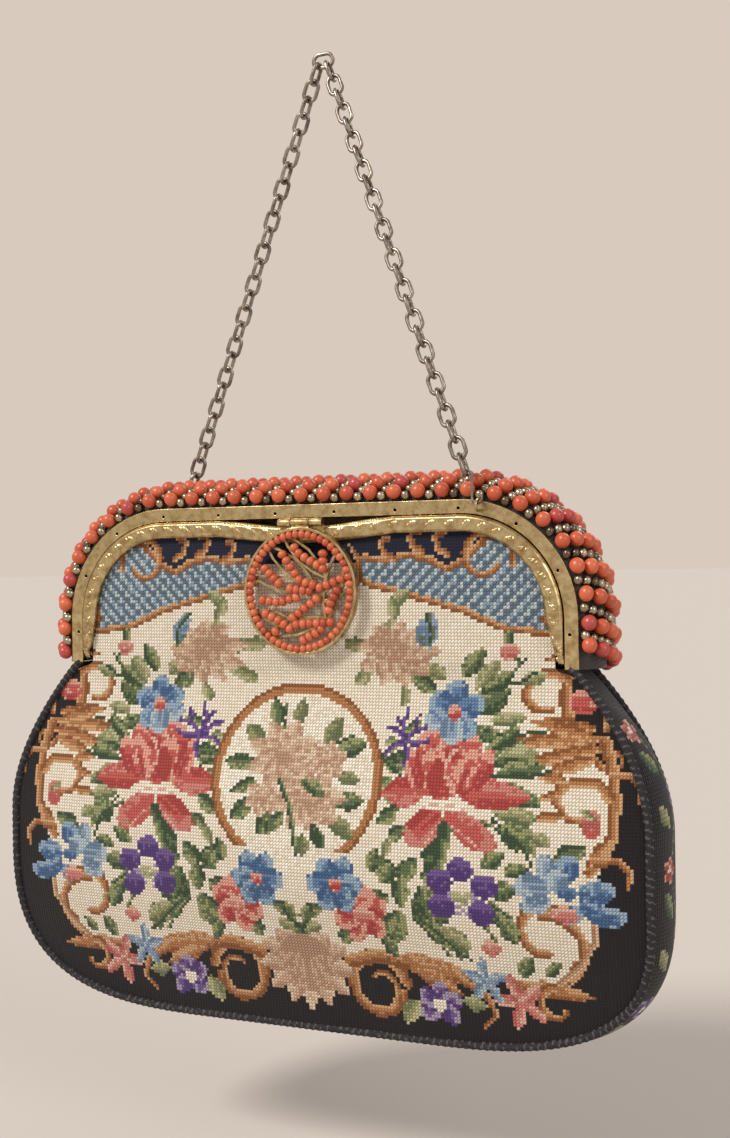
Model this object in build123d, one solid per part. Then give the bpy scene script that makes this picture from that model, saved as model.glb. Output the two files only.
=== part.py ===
from build123d import *

import os
from itertools import product
from math import acos, asin, atan2, cos, degrees, hypot, pi, radians, sin, sqrt

# A hanging evening bag of needlework on a beaded metal frame with a cable chain.
# Millimetres. The bag is drawn about its own middle: X across, Y front to back
# (front at low Y), Z up from the middle of the flower panel. At the end every piece
# is moved so that the point that its chain hangs from, inside the top link, is the origin.

# Metal frame: an arch of channel section
frame_half_width = 75.0
frame_top = 71.0
foot_lap = 0.1
corner_radius = 31.0
frame_depth = 19.0
sheet = 0.9
flange_width = 3.6
hole_diameter = 0.9
hole_pitch = 17.0
hole_sides = 6

# Beads wound over the arch, on a bed with a round back
bed_rise = 4.6
bed_margin = 0.9
bead_pair_pitch = 6.75
coral_diameter = 3.8
metal_bead_diameter = 2.2
bead_lay = 0.05

# Front frame that swings open
moulding_width = 4.4
moulding_thickness = 2.2
moulding_stand = 1.1
frame_gap = 0.3
cusp_drop = 2.2
cusp_half_width = 26.0
moulding_tip = 1.6
pivot_rise = 2.4
moulding_foot_rise = 1.5
pivot_setback = 1.9
pin_diameter = 1.6
pin_fit = 0.1
ear_radius = 1.5

# Clasp that hangs in front of the middle of the front frame
clasp_half_width = 16.6
clasp_half_height = 17.2
clasp_centre_height = 47.6
rim_wall = 0.8
rim_depth = 2.2
clasp_stand_off = 0.6
clasp_bead_diameter = 1.9
rim_bead_count = 50
rim_sides = 32
leaf_wall = 0.7
leaf_depth = 0.9
barrel_radius = 1.1
barrel_length = 13.0
barrel_middle = 5.2
clasp_pin_diameter = 0.9
clasp_fit = 0.15

# Needlework pouch
panel_thickness = 1.0
lining_thickness = 0.4
mouth_height = 27.6
flap_gap = 0.8
seam_half_width = 92.5
mouth_half_width = 72.4
gusset_bulge = 3.6
belly_depth = 18.3
seam_depth = 13.0
bottom_height = -70.0
bottom_half_depth = 8.0
bottom_flat = 30.0
tuck_height = -26.0
full_height = -30.0
seam_cord_width = 1.9
seam_cord_rise = 0.9
panel_steps = 8
gusset_steps = 2

# Chain, hooks and eyes
link_length = 6.9
link_width = 4.9
link_wire = 1.1
link_play = 0.05
links_per_side = 27
hook_wire = 0.8
hook_bend = 1.3
hook_height = 9.4
hook_play = 0.03
eye_x = 50.0
eye_wire = 0.9
eye_bend = 1.3
eye_reach = 3.1
eye_inset = 1.8
hang_lean = 4.5
wire_sides = 6
bend_steps = 5

# Worked out from the sizes above
half_depth = frame_depth / 2
frame_foot = mouth_height - foot_lap
pivot_height = mouth_height + pivot_rise
front_face = -half_depth
spring_height = frame_top - corner_radius
corner_x = frame_half_width - corner_radius
side_length = spring_height - frame_foot
corner_length = corner_radius * pi / 2
arch_length = 2 * side_length + 2 * corner_length + 2 * corner_x
moulding_inset = flange_width + frame_gap
moulding_foot = pivot_height + moulding_foot_rise
pivot_y = front_face + pivot_setback


def slab(sketch, y_front, y_back):
    """A plate with this outline in X and Z, between two depths."""
    return extrude(Plane.XZ.offset(-y_back) * sketch, amount=y_back - y_front)


def arch_region(inset, foot):
    """The filled arch inside the frame's outer edge, this far in, down to a foot."""
    height = frame_top - inset - foot
    shape = Pos(0, foot + height / 2) * Rectangle(2 * (frame_half_width - inset), height)
    return fillet(shape.vertices().group_by(Axis.Y)[-1], corner_radius - inset)


def arch_point(distance, outward):
    """X, Z and outward direction at a distance along the arch from its left foot."""
    if distance < side_length:
        return -frame_half_width - outward, frame_foot + distance, (-1.0, 0.0)
    along = distance - side_length
    if along < corner_length:
        turn = along / corner_radius
        out = (-cos(turn), sin(turn))
        reach = corner_radius + outward
        return -corner_x + reach * out[0], spring_height + reach * out[1], out
    along -= corner_length
    if along < 2 * corner_x:
        return along - corner_x, frame_top + outward, (0.0, 1.0)
    x, z, out = arch_point(arch_length - distance, outward)
    return -x, z, (-out[0], out[1])


def polyhedron(loops):
    """A closed solid from loops of corner points, one loop to a flat face."""
    return Solid(Shell([Face(Wire.make_polygon(loop)) for loop in loops]))


def bent_wire(points, across, diameter):
    """A wire with flat sides along points in one plane, mitred at each bend."""
    points = [Vector(*point) for point in points]
    across = Vector(*across)
    rings = []
    for k, point in enumerate(points):
        into = (point - points[max(k - 1, 0)]).normalized() if k else None
        onward = (points[k + 1] - point).normalized() if k + 1 < len(points) else None
        run = ((into or onward) + (onward or into)).normalized()
        side = run.cross(across)
        stretch = 1 / run.dot(onward or into)
        ring = []
        for n in range(wire_sides):
            angle = 2 * pi * n / wire_sides
            ring.append(point + side * (cos(angle) * stretch * diameter / 2)
                        + across * (sin(angle) * diameter / 2))
        rings.append(ring)
    loops = [rings[0][::-1], rings[-1]]
    for low, high in zip(rings, rings[1:]):
        for n in range(wire_sides):
            after = (n + 1) % wire_sides
            loops.append([low[n], low[after], high[after], high[n]])
    return polyhedron(loops)


def half_turn(centre_u, centre_v, radius, start, step):
    """Points of half a circle in a plane, from a start angle, in even steps."""
    turns = [start + step * pi * k / bend_steps for k in range(bend_steps + 1)]
    return [(centre_u + radius * cos(turn), centre_v + radius * sin(turn)) for turn in turns]


def eight_faced_bead(diameter):
    """A small cut bead with eight faces."""
    r = diameter / 2
    signs = product((-1, 1), repeat=3)
    return polyhedron([[(a * r, 0, 0), (0, b * r, 0), (0, 0, c * r)] for a, b, c in signs])


def twelve_faced_bead(diameter):
    """A rounder bead: six sides that meet at a point at each end of the string."""
    r = diameter / 2
    ring = [(r * cos(pi * k / 3), r * sin(pi * k / 3)) for k in range(6)]
    loops = []
    for k, (u, v) in enumerate(ring):
        u2, v2 = ring[(k + 1) % 6]
        loops += [[(u, 0, v), (u2, 0, v2), (0, tip, 0)] for tip in (-r, r)]
    return polyhedron(loops)


# The bed's round back: a circle through both edges of the frame
bed_half = half_depth - bed_margin
bed_radius = (bed_half ** 2 + bed_rise ** 2) / (2 * bed_rise)
bed_angle = asin(bed_half / bed_radius)


def outer_frame():
    front = slab(arch_region(0, frame_foot) - arch_region(flange_width, frame_foot),
                 front_face, front_face + sheet)
    back = slab(arch_region(0, frame_foot) - arch_region(flange_width, frame_foot),
                half_depth - sheet, half_depth)
    web = slab(arch_region(0, frame_foot) - arch_region(sheet, frame_foot), front_face, half_depth)
    hole = RegularPolygon(hole_diameter / 2, hole_sides)
    drill = extrude(Plane.XZ * hole, amount=3 * frame_depth, both=True)
    holes = []
    count = int(arch_length / hole_pitch)
    for k in range(count):
        distance = arch_length * (k + 0.5) / count
        x, z, _ = arch_point(distance, -(flange_width + sheet) / 2)
        holes.append(Pos(x, 0, z) * drill)
    pin_bore = Pos(0, pivot_y, pivot_height) * Rot(0, 90, 0) * Cylinder(
        pin_diameter / 2, 3 * frame_half_width)
    return (front + back + web) - holes - pin_bore


def bead_bed():
    """A roll with a round back, laid along the outside of the arch."""
    w = frame_half_width
    path = FilletPolyline((-w, 0, frame_foot), (-w, 0, frame_top), (w, 0, frame_top),
                          (w, 0, frame_foot), radius=corner_radius)
    across = Plane(origin=(-w, 0, frame_foot), x_dir=(0, 1, 0), z_dir=(0, 0, 1))
    turns = [bed_angle * (k / 3 - 1) for k in range(7)]
    outline = [(bed_radius * sin(turn), bed_radius * (cos(turn) - 1) + bed_rise) for turn in turns]
    return sweep(across * make_face(Polyline(*outline, close=True)), path=path)


def bead_row(bead, diameter, start):
    """One string of beads from the front edge, over the bed, to the back edge."""
    reach = bed_radius + bead_lay + diameter / 2
    arc = 2 * bed_angle * reach
    count = int(hypot(arc, bead_pair_pitch) / (diameter + 0.02))
    beads = []
    for k in range(count):
        across = 2 * (k + 0.5) / count - 1
        angle = across * bed_angle
        distance = start + bead_pair_pitch * across / 2
        x, z, out = arch_point(distance, reach * cos(angle) - bed_radius + bed_rise)
        normal = (out[0] * cos(angle), sin(angle), out[1] * cos(angle))
        seat = Plane(origin=(x, reach * sin(angle), z), x_dir=(out[1], 0, -out[0]), z_dir=normal)
        beads.append(seat.location * bead)
    return beads


def bead_rows(bead, diameter, share):
    """All strings of one sort; the share shifts them along by part of the pitch."""
    count = int((arch_length - bead_pair_pitch) / bead_pair_pitch)
    spare = arch_length - count * bead_pair_pitch
    beads = []
    for k in range(count):
        beads += bead_row(bead, diameter, spare / 2 + (k + share) * bead_pair_pitch)
    return Compound(children=beads)


def moulding_outline():
    """The front frame's face: an arch that dips to a cusp and tapers to its feet."""
    top = frame_top - moulding_inset
    outer = arch_region(moulding_inset, moulding_foot)
    inner = arch_region(moulding_inset + moulding_width, pivot_height - 2 * ear_radius)
    ring = outer - inner
    dip = make_face(Line((-cusp_half_width, top + 1), (cusp_half_width, top + 1))
                    + Line((cusp_half_width, top + 1), (cusp_half_width, top))
                    + ThreePointArc((cusp_half_width, top), (cusp_half_width * 0.6, top - cusp_drop * 0.55),
                                    (0, top - cusp_drop))
                    + ThreePointArc((0, top - cusp_drop), (-cusp_half_width * 0.6, top - cusp_drop * 0.55),
                                    (-cusp_half_width, top))
                    + Line((-cusp_half_width, top), (-cusp_half_width, top + 1)))
    sag = Pos(0, -moulding_width) * (dip & Pos(0, top - cusp_drop) * Rectangle(
        2 * cusp_half_width, 2 * cusp_drop))
    ring = ring + sag - dip
    x_in = frame_half_width - moulding_inset - moulding_width
    for side in (-1, 1):
        tip = side * (frame_half_width - moulding_inset - moulding_tip)
        low = moulding_foot
        ring -= make_face(Polyline((side * (x_in - 1), low - 1), (tip, low - 1), (tip, low),
                                   (side * x_in, spring_height), (side * (x_in - 1), spring_height),
                                   close=True))
    return ring


def front_frame():
    back = front_face + moulding_stand
    body = slab(moulding_outline(), back - moulding_thickness, back)
    front_edges = body.faces().sort_by(Axis.Y)[0].outer_wire().edges()
    body = chamfer(front_edges, 0.7)
    bore = Rot(0, 90, 0) * Cylinder(pin_diameter / 2 + pin_fit, 2 * moulding_tip)
    for side in (-1, 1):
        x = side * (frame_half_width - moulding_inset - moulding_tip / 2)
        ear = Rot(0, 90, 0) * Cylinder(ear_radius, moulding_tip)
        ear += Pos(0, -pivot_setback / 2, ear_radius) * Box(moulding_tip, pivot_setback, 2 * ear_radius)
        body = body + Pos(x, pivot_y, pivot_height) * ear
        body = body - Pos(x, pivot_y, pivot_height) * bore
    return body


def hinge_pin(side):
    inner = frame_half_width - moulding_inset - moulding_tip - 0.5
    pin = Rot(0, 90, 0) * Cylinder(pin_diameter / 2, frame_half_width - inner)
    return Pos(side * (frame_half_width + inner) / 2, pivot_y, pivot_height) * pin


# The pouch, from its mouth down: how far it has swelled (0 at the mouth, 1 at the belly)
# and where its bottom rounds in
def blend(t):
    t = min(max(t, 0.0), 1.0)
    return t * t * (3 - 2 * t)


def seam_x(z):
    """Half width between the side seams: round shoulders, full sides, round corners."""
    shoulder = (mouth_height - z) / 42
    rise = sin(min(max(shoulder, 0), 1) * pi / 2) ** 0.85
    wide = mouth_half_width + (seam_half_width - mouth_half_width) * rise
    corner = min(max((full_height - z) / (full_height - bottom_height), 0), 1)
    return wide - (seam_half_width - bottom_flat) * (1 - (1 - corner ** 3) ** (1 / 3))


def belly_y(z):
    """Depth of the panel's middle, in front of the frame's middle."""
    mouth = half_depth - panel_thickness
    swell = mouth + (belly_depth - mouth) * blend((mouth_height - z) / 48)
    tuck = blend((tuck_height - z) / (tuck_height - bottom_height))
    return swell + (bottom_half_depth - belly_depth) * tuck


def seam_y(z):
    """Depth of the seam between a panel and the gusset."""
    mouth = half_depth - panel_thickness
    swell = mouth + (seam_depth - mouth) * blend((mouth_height - z) / 45)
    tuck = blend((tuck_height - z) / (tuck_height - bottom_height))
    return swell + (bottom_half_depth - 0.6 - seam_depth) * tuck


def bowed(count, end, middle):
    """Steps across a bow: share from one end to the other, and distance out at each."""
    shares = [2 * k / count - 1 for k in range(count)]
    return [(share, end + (middle - end) * (1 - share ** 2)) for share in shares]


def section(z, grow):
    """One level outline of the pouch: bowed panels in front and behind, gussets at the sides."""
    x = seam_x(z) + grow
    y = seam_y(z) + grow
    belly = max(belly_y(z), seam_y(z) + 0.3) + grow
    side = x + max(gusset_bulge * blend((mouth_height + 2 - z) / 30), 0.2)
    points = [(share * x, -reach) for share, reach in bowed(panel_steps, y, belly)]
    points += [(reach, share * y) for share, reach in bowed(gusset_steps, x, side)]
    points += [(-px, -py) for px, py in points]
    return Pos(0, 0, z) * make_face(Polyline(*points, close=True))


levels = [mouth_height, 15, 0, -18, -36]
levels += [bottom_height + rise for rise in (20, 11, 5, 1.5, 0)]


def pouch_form(grow, top=0.0):
    """The filled pouch, grown or shrunk all round, with an open-ended top."""
    sections = [Pos(0, 0, top) * section(mouth_height, grow)]
    for z in levels[1:]:
        sunk = blend((full_height - z) / (full_height - bottom_height))
        sections.append(Pos(0, 0, -grow * sunk) * section(z, grow))
    return loft(sections, ruled=True)


def seam_band(low, high):
    """Everything between two offsets from the front seam, as a block across the bag."""
    line = [(-seam_y(z), z) for z in levels]
    line = [(line[0][0], mouth_height + 5)] + line + [(line[-1][0], bottom_height - 5)]
    near = [(y + low, z) for y, z in line]
    far = [(y + high, z) for y, z in reversed(line)]
    outline = make_face(Polyline(*near, *far, close=True))
    return extrude(Plane.YZ * outline, amount=2 * seam_half_width, both=True)


def seam_outline(inset):
    """The seam's line seen from the front, filled, this far in from it."""
    side = [(seam_x(z) - inset, max(z, bottom_height + inset)) for z in levels]
    side[0] = (side[0][0], mouth_height + 5)
    return make_face(Polyline(*side, *[(-x, z) for x, z in reversed(side)], close=True))


def pouch_pieces():
    wall = pouch_form(0) - pouch_form(-panel_thickness, top=1)
    lining = pouch_form(-panel_thickness - 0.05) - pouch_form(
        -panel_thickness - 0.05 - lining_thickness, top=1)
    cord = pouch_form(seam_cord_rise + 0.05) - pouch_form(0.05, top=1)
    mouth_trim = Pos(0, 0, mouth_height + 5) * Box(400, 100, 10)
    cord_trim = Pos(0, 0, -0.2) * mouth_trim
    front_cut = seam_band(-60, 0)
    front_panel = wall & front_cut
    rest = wall - front_cut
    back_cut = mirror(front_cut, about=Plane.XZ)
    back_panel = rest & back_cut
    gusset = rest - back_cut
    inner = slab(seam_outline(seam_cord_width), -2 * belly_depth, 2 * belly_depth)
    front_cord = (cord & seam_band(-seam_cord_width / 2, seam_cord_width / 2)) - cord_trim - inner
    back_cord = mirror(front_cord, about=Plane.XZ)
    return front_panel, back_panel, gusset, lining - mouth_trim, front_cord, back_cord


def back_upper():
    """The back panel carried up inside the frame's back flange."""
    y_back = half_depth - sheet - 0.05
    return slab(arch_region(sheet + 0.1, mouth_height), y_back - panel_thickness, y_back)


def front_flap():
    """The needlework that the front frame carries, from the hinge line up."""
    y_front = front_face + moulding_stand
    outline = arch_region(moulding_inset + 2.4, pivot_height)
    outline -= Pos(0, frame_top) * Rectangle(2 * cusp_half_width, 2 * (moulding_inset + cusp_drop + 1.2))
    return slab(outline, y_front, y_front + panel_thickness)


# The clasp hangs from a small barrel hinge at the middle of the front frame
clasp_back = front_face + moulding_stand - moulding_thickness - clasp_stand_off
clasp_front = clasp_back - rim_depth
barrel_height = clasp_centre_height + clasp_half_height + barrel_radius + 0.2
barrel_y = front_face + moulding_stand - moulding_thickness - barrel_radius - 0.2


def across_x(radius, x_low, x_high):
    rod = Rot(0, 90, 0) * Cylinder(radius, x_high - x_low)
    return Pos((x_low + x_high) / 2, 0, 0) * rod


def oval(inset):
    """The rim's outline with flat sides, this far in."""
    turns = [2 * pi * k / rim_sides for k in range(rim_sides)]
    a, b = clasp_half_width - inset, clasp_half_height - inset
    return make_face(Polyline(*[(a * sin(turn), b * cos(turn)) for turn in turns], close=True))


def clasp_rim():
    outline = oval(0) - oval(rim_wall)
    rim = slab(Pos(0, clasp_centre_height) * outline, clasp_front, clasp_back)
    knuckle = Pos(0, barrel_y, barrel_height) * across_x(
        barrel_radius, -barrel_middle / 2, barrel_middle / 2)
    neck_low = clasp_centre_height + clasp_half_height - rim_wall
    neck_high = barrel_height
    neck = Pos(0, barrel_y, (neck_low + neck_high) / 2) * Box(
        barrel_middle, barrel_radius, neck_high - neck_low)
    bore = Pos(0, barrel_y, barrel_height) * across_x(
        clasp_pin_diameter / 2 + clasp_fit, -barrel_length, barrel_length)
    return rim + knuckle + neck - bore


def clasp_hinge():
    """Two fixed knuckles, each on a thin tab that runs down behind the rim to the frame."""
    plate_front = front_face + moulding_stand - moulding_thickness
    tab = clasp_stand_off - 0.1
    tab_low = clasp_centre_height + clasp_half_height - 2.5
    parts = []
    for side in (-1, 1):
        x = side * (barrel_length + barrel_middle + 0.4) / 4
        length = (barrel_length - barrel_middle - 0.4) / 2
        knuckle = Pos(x, barrel_y, barrel_height) * across_x(barrel_radius, -length / 2, length / 2)
        foot = Pos(x, plate_front - tab / 2, (barrel_height + tab_low) / 2) * Box(
            length, tab, barrel_height - tab_low)
        parts.append(knuckle + foot)
    bore = Pos(0, barrel_y, barrel_height) * across_x(
        clasp_pin_diameter / 2, -barrel_length, barrel_length)
    return Compound(children=[part - bore for part in parts])


def clasp_pin():
    return Pos(0, barrel_y, barrel_height) * across_x(
        clasp_pin_diameter / 2, -barrel_length / 2, barrel_length / 2)


def leaf(start, end, width):
    """A slender leaf outline between two points, pointed at both ends."""
    (x0, z0), (x1, z1) = start, end
    length = hypot(x1 - x0, z1 - z0)
    lens = []
    for half_width, inset in ((width / 2, 0), (width / 2 - leaf_wall, 2.2 * leaf_wall)):
        rises = [(0, 0), (0.22, 0.66), (0.5, 1), (0.78, 0.66)]
        upper = [(inset + (length - 2 * inset) * u, half_width * v) for u, v in rises]
        lower = [(length - px, -py) for px, py in upper]
        lens.append(make_face(Polyline(*upper, *lower, close=True)))
    outline = lens[0] - lens[1]
    return Pos(x0, z0) * Rot(0, 0, degrees(atan2(z1 - z0, x1 - x0))) * outline


leaf_lines = [((-6, 16), (8, 3), 5.0), ((-11, 13), (5, 0.5), 5.5), ((-15, 4), (5, 0), 4.6),
              ((12, 13), (7, -9), 6.0), ((16, 3), (4, -3), 4.2), ((-12, -12), (9, -7), 5.0),
              ((-15, -5), (-1, -9), 4.0)]


def clasp_leaves():
    """Leaf outlines that cross inside the rim and are joined to it at their ends."""
    inside = oval(rim_wall + 0.02)
    outline = leaf(*leaf_lines[0])
    for line in leaf_lines[1:]:
        outline += leaf(*line)
    outline = Pos(0, clasp_centre_height) * (outline & inside)
    return slab(outline, clasp_back - leaf_depth, clasp_back)


# Bead strings across the clasp, from its middle, in the order that they are laid
string_lines = [((-13, 9), (-5, 1), (3, 0)), ((-4, 15), (0, 10), (7, 6)), ((-5, 10), (0, 3), (6, 1)),
                ((-13, -2), (-6, -3), (1, -1)), ((-12, -5), (-6, -8), (-3, -10)),
                ((-9, -12), (-2, -7), (5, -2)), ((-3, -9), (4, -8.5), (13, -8)),
                ((7, 12), (7, 6), (4, -1)), ((6, 1), (9, 2), (14, 4)), ((12, 2), (9, -3), (8, -7)),
                ((1, -13), (5, -11), (8, -9))]


def beads_along(points, spacing, taken):
    """Centres spaced evenly along a bent line, leaving out any that would meet an earlier one."""
    path = Polyline(*points)
    count = int(path.length / spacing)
    centres = []
    for k in range(count + 1):
        spot = path @ (k / count)
        if all(hypot(spot.X - x, spot.Y - z) > spacing * 0.995 for x, z in taken + centres):
            centres.append((spot.X, spot.Y))
    return centres


def rim_bead_centres():
    a = clasp_half_width - rim_wall - clasp_bead_diameter / 2 - 0.1
    b = clasp_half_height - rim_wall - clasp_bead_diameter / 2 - 0.1
    centres = []
    for k in range(rim_bead_count):
        angle = 2 * pi * (k + 0.5) / rim_bead_count
        centres.append((a * sin(angle), b * cos(angle)))
    return centres


def clasp_beads(centres, depth):
    bead = eight_faced_bead(clasp_bead_diameter)
    return Compound(children=[Pos(x, depth, clasp_centre_height + z) * bead for x, z in centres])


# The chain: one strand runs from each hook up to the top link
def link():
    """A link with cut corners, standing along Z with its flat side towards Y."""
    outer = chamfer(Rectangle(link_width, link_length).vertices(), 1.3)
    inner = Rectangle(link_width - 2 * link_wire, link_length - 2 * link_wire)
    return slab(outer - inner, -link_wire / 2, link_wire / 2)


hook_y = front_face - eye_reach
eye_top = frame_top - eye_inset + eye_bend
hook_low = eye_top - eye_wire / 2 - hook_wire / 2 - hook_play
hook_high = hook_low + hook_height - hook_wire
hook_x = eye_x - 2 * hook_bend
last_wire_z = hook_high - hook_wire / 2 - link_wire / 2 - 0.22
link_pitch = link_length - 2 * link_wire - link_play
strand_length = (links_per_side - 1) * link_pitch + link_length - link_wire
top_bend = link_width / 2 - link_wire / 2
top_shift = link_length / 2 - link_width / 2
first_reach = top_bend - link_wire - 0.1
hang_y = hang_lean
hang_x = -hang_y * hook_y / hook_x
run_x = hook_x - hang_x - top_shift
run_y = hook_y - hang_y
strand_drop = sqrt((strand_length + first_reach) ** 2 - run_x ** 2 - run_y ** 2)
top_link_z = last_wire_z + strand_drop
hang_z = top_link_z + link_width / 2 - link_wire


def strand(side):
    """The links on one side: each lies a quarter turn round from the last."""
    start = Vector(hang_x + side * top_shift, hang_y, top_link_z)
    end = Vector(side * hook_x, side * hook_y, last_wire_z)
    along = (end - start).normalized()
    links = []
    for k in range(links_per_side):
        centre = start + along * (first_reach + (link_length - link_wire) / 2 + k * link_pitch)
        flat = Vector(0, 1, 0) if k % 2 == 0 else along.cross(Vector(0, 1, 0))
        flat = (flat - along * flat.dot(along)).normalized()
        links.append(Plane(origin=centre, x_dir=flat, z_dir=along).location * link())
    return Compound(children=links)


def top_link():
    return Pos(hang_x, hang_y, top_link_z) * Rot(0, 90, 0) * link()


def s_hook():
    """A wire bent to an S: the low bend holds the eye, the high bend the last link."""
    b = hook_bend
    low, high = hook_low + b, hook_high - b
    route = [(b, low + 0.6)] + half_turn(0, low, b, 0, -1)
    route += half_turn(-2 * b, high, b, 0, 1) + [(-3 * b, high - 0.6)]
    return bent_wire([(eye_x + u, hook_y, v) for u, v in route], (0, 1, 0), hook_wire)


def eye():
    """A wire staple that stands out of the flange."""
    straight = front_face - eye_reach + 0.1
    route = [(front_face, eye_top)] + half_turn(straight, eye_top - eye_bend, eye_bend, pi / 2, 1)
    route += [(front_face, eye_top - 2 * eye_bend)]
    return bent_wire([(eye_x, u, v) for u, v in route], (1, 0, 0), eye_wire)


def turned(shape):
    """The same piece at the back on the other side: half a turn about the bag's middle."""
    return Rot(0, 0, 180) * shape


front_panel, back_lower, gusset, lining, front_cord, back_cord = pouch_pieces()
rim_centres = rim_bead_centres()
bead_depth = clasp_back - leaf_depth - clasp_bead_diameter / 2 - 0.02
string_centres = []
for points in string_lines:
    string_centres += beads_along(points, clasp_bead_diameter + 0.02, rim_centres + string_centres)

pieces = {
    "outer_frame": outer_frame(),
    "bead_bed": bead_bed(),
    "coral_bead_rows": bead_rows(twelve_faced_bead(coral_diameter), coral_diameter, 0.25),
    "metal_bead_rows": bead_rows(eight_faced_bead(metal_bead_diameter), metal_bead_diameter, 0.75),
    "front_frame": front_frame(),
    "hinge_pin_left": hinge_pin(-1),
    "hinge_pin_right": hinge_pin(1),
    "clasp_hinge": clasp_hinge(),
    "clasp_pin": clasp_pin(),
    "clasp_rim": clasp_rim(),
    "clasp_leaves": clasp_leaves(),
    "clasp_rim_beads": clasp_beads(rim_centres, bead_depth),
    "clasp_string_beads": clasp_beads(string_centres, bead_depth),
    "needlework_flap": front_flap(),
    "needlework_front": front_panel,
    "needlework_back": back_lower + back_upper(),
    "gusset": gusset,
    "lining": lining,
    "seam_cord_front": front_cord,
    "seam_cord_back": back_cord,
    "eye_right": eye(),
    "eye_left": turned(eye()),
    "hook_right": s_hook(),
    "hook_left": turned(s_hook()),
    "chain_right": strand(1),
    "chain_left": strand(-1),
    "chain_top_link": top_link(),
}

print("hanging point above the frame's top:", round(hang_z - frame_top, 2))
os.makedirs("parts", exist_ok=True)
for name, shape in pieces.items():
    export_step(Pos(-hang_x, -hang_y, -hang_z) * shape, f"parts/{name}.step")
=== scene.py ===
# %% [markdown]
# A small evening bag hangs by its chain. Its panels are fine needlework, its arch of gilt
# metal is wound with strings of coral and metal beads, and an openwork clasp hangs in front.
# The first cell loads the measured model as a fixed frame, and gives a way to read a part's box.
# %% The frame
import math
import bpy
import numpy as np
from mathutils import Matrix, Vector


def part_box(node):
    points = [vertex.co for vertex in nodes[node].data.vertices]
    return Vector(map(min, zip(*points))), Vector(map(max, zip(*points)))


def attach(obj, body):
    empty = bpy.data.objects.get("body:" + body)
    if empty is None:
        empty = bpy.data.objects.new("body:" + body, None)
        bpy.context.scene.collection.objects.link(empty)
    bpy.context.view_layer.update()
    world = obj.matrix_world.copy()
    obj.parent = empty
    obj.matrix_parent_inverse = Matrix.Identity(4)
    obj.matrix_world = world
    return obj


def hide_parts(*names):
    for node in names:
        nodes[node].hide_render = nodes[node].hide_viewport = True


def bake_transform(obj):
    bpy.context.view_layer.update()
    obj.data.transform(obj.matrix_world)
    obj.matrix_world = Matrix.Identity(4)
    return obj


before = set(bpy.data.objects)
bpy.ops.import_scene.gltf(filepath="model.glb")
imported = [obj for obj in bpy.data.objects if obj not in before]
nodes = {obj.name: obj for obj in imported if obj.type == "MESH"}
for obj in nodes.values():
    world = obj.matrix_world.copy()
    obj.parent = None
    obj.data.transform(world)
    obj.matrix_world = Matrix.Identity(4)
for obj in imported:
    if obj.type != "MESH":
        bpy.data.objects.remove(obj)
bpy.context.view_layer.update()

random = np.random.default_rng(29)
print("nodes loaded:", len(nodes))

# %% [markdown]
# Everything on the bag is easiest to draw about the bag's own middle, in millimetres.
# The arch of the metal frame gives that middle: half way across it, half way through it,
# and a known height below its top. One function turns such places into metres.
# %% The bag's own middle
MM = 0.001
frame_low, frame_high = (np.array(corner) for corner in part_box("outer_frame"))
half_width = (frame_high[0] - frame_low[0]) / 2 / MM
half_depth = (frame_high[1] - frame_low[1]) / 2 / MM
frame_top = 71.0
middle = np.array([(frame_low[0] + frame_high[0]) / 2,
                   (frame_low[1] + frame_high[1]) / 2,
                   frame_high[2] - frame_top * MM])
print("arch", round(2 * half_width, 1), "mm wide,", round(2 * half_depth, 1), "mm deep")


def in_metres(points):
    """Millimetres about the bag's middle, turned into metres in the shared frame."""
    return np.asarray(points, float) * MM + middle

# %% [markdown]
# Most pieces are grids: rows and columns of points from a formula. A grid is turned into a
# mesh with one face between each four points. The grid can close round on itself, and a
# piece can store stitch coordinates and a colour for each face.
# %% A mesh from a grid
def grid_faces(rows, columns, close_rows=False, close_columns=False):
    """Corner numbers of the faces between neighbouring points, row by row."""
    r = np.arange(rows if close_rows else rows - 1)
    c = np.arange(columns if close_columns else columns - 1)
    r, c = np.meshgrid(r, c, indexing="ij")
    r2, c2 = (r + 1) % rows, (c + 1) % columns
    corners = np.stack([r * columns + c, r * columns + c2, r2 * columns + c2, r2 * columns + c], -1)
    return corners.reshape(-1, 4)


def make_piece(name, points, faces, body, uv=None, colours=None, smooth=True):
    """A mesh from points in metres; it rides on a body, if one is named."""
    mesh = bpy.data.meshes.new(name)
    mesh.from_pydata(points.reshape(-1, 3).tolist(), [], faces.tolist())
    if uv is not None:
        layer = mesh.uv_layers.new(name="cloth")
        layer.data.foreach_set("uv", uv[faces].reshape(-1).astype(np.float32))
    for label, values in (colours or {}).items():
        attribute = mesh.color_attributes.new(label, "FLOAT_COLOR", "CORNER")
        full = np.ones((len(faces), 4, 4), np.float32)
        full[..., :3] = values[:, None, :]
        attribute.data.foreach_set("color", full.reshape(-1))
    mesh.polygons.foreach_set("use_smooth", [smooth] * len(mesh.polygons))
    mesh.update()
    piece = bpy.data.objects.new(name, mesh)
    bpy.context.scene.collection.objects.link(piece)
    if body:
        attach(piece, body)
    return piece

# %% [markdown]
# The camera stands where the photograph was taken from: to the right of the bag, level with
# its clasp. Its place was worked out from the frame's symmetric points. A focal length of
# 1400 pixels, for a picture 730 pixels wide, gives the same perspective.
# %% The camera
PHOTO_WIDTH = 730
FOCAL_PIXELS = 1400.0
camera_place = (161.6, -351.1, 53.8)
camera_yaw, camera_pitch, camera_roll = 22.855, 0.067, -0.783

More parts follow.
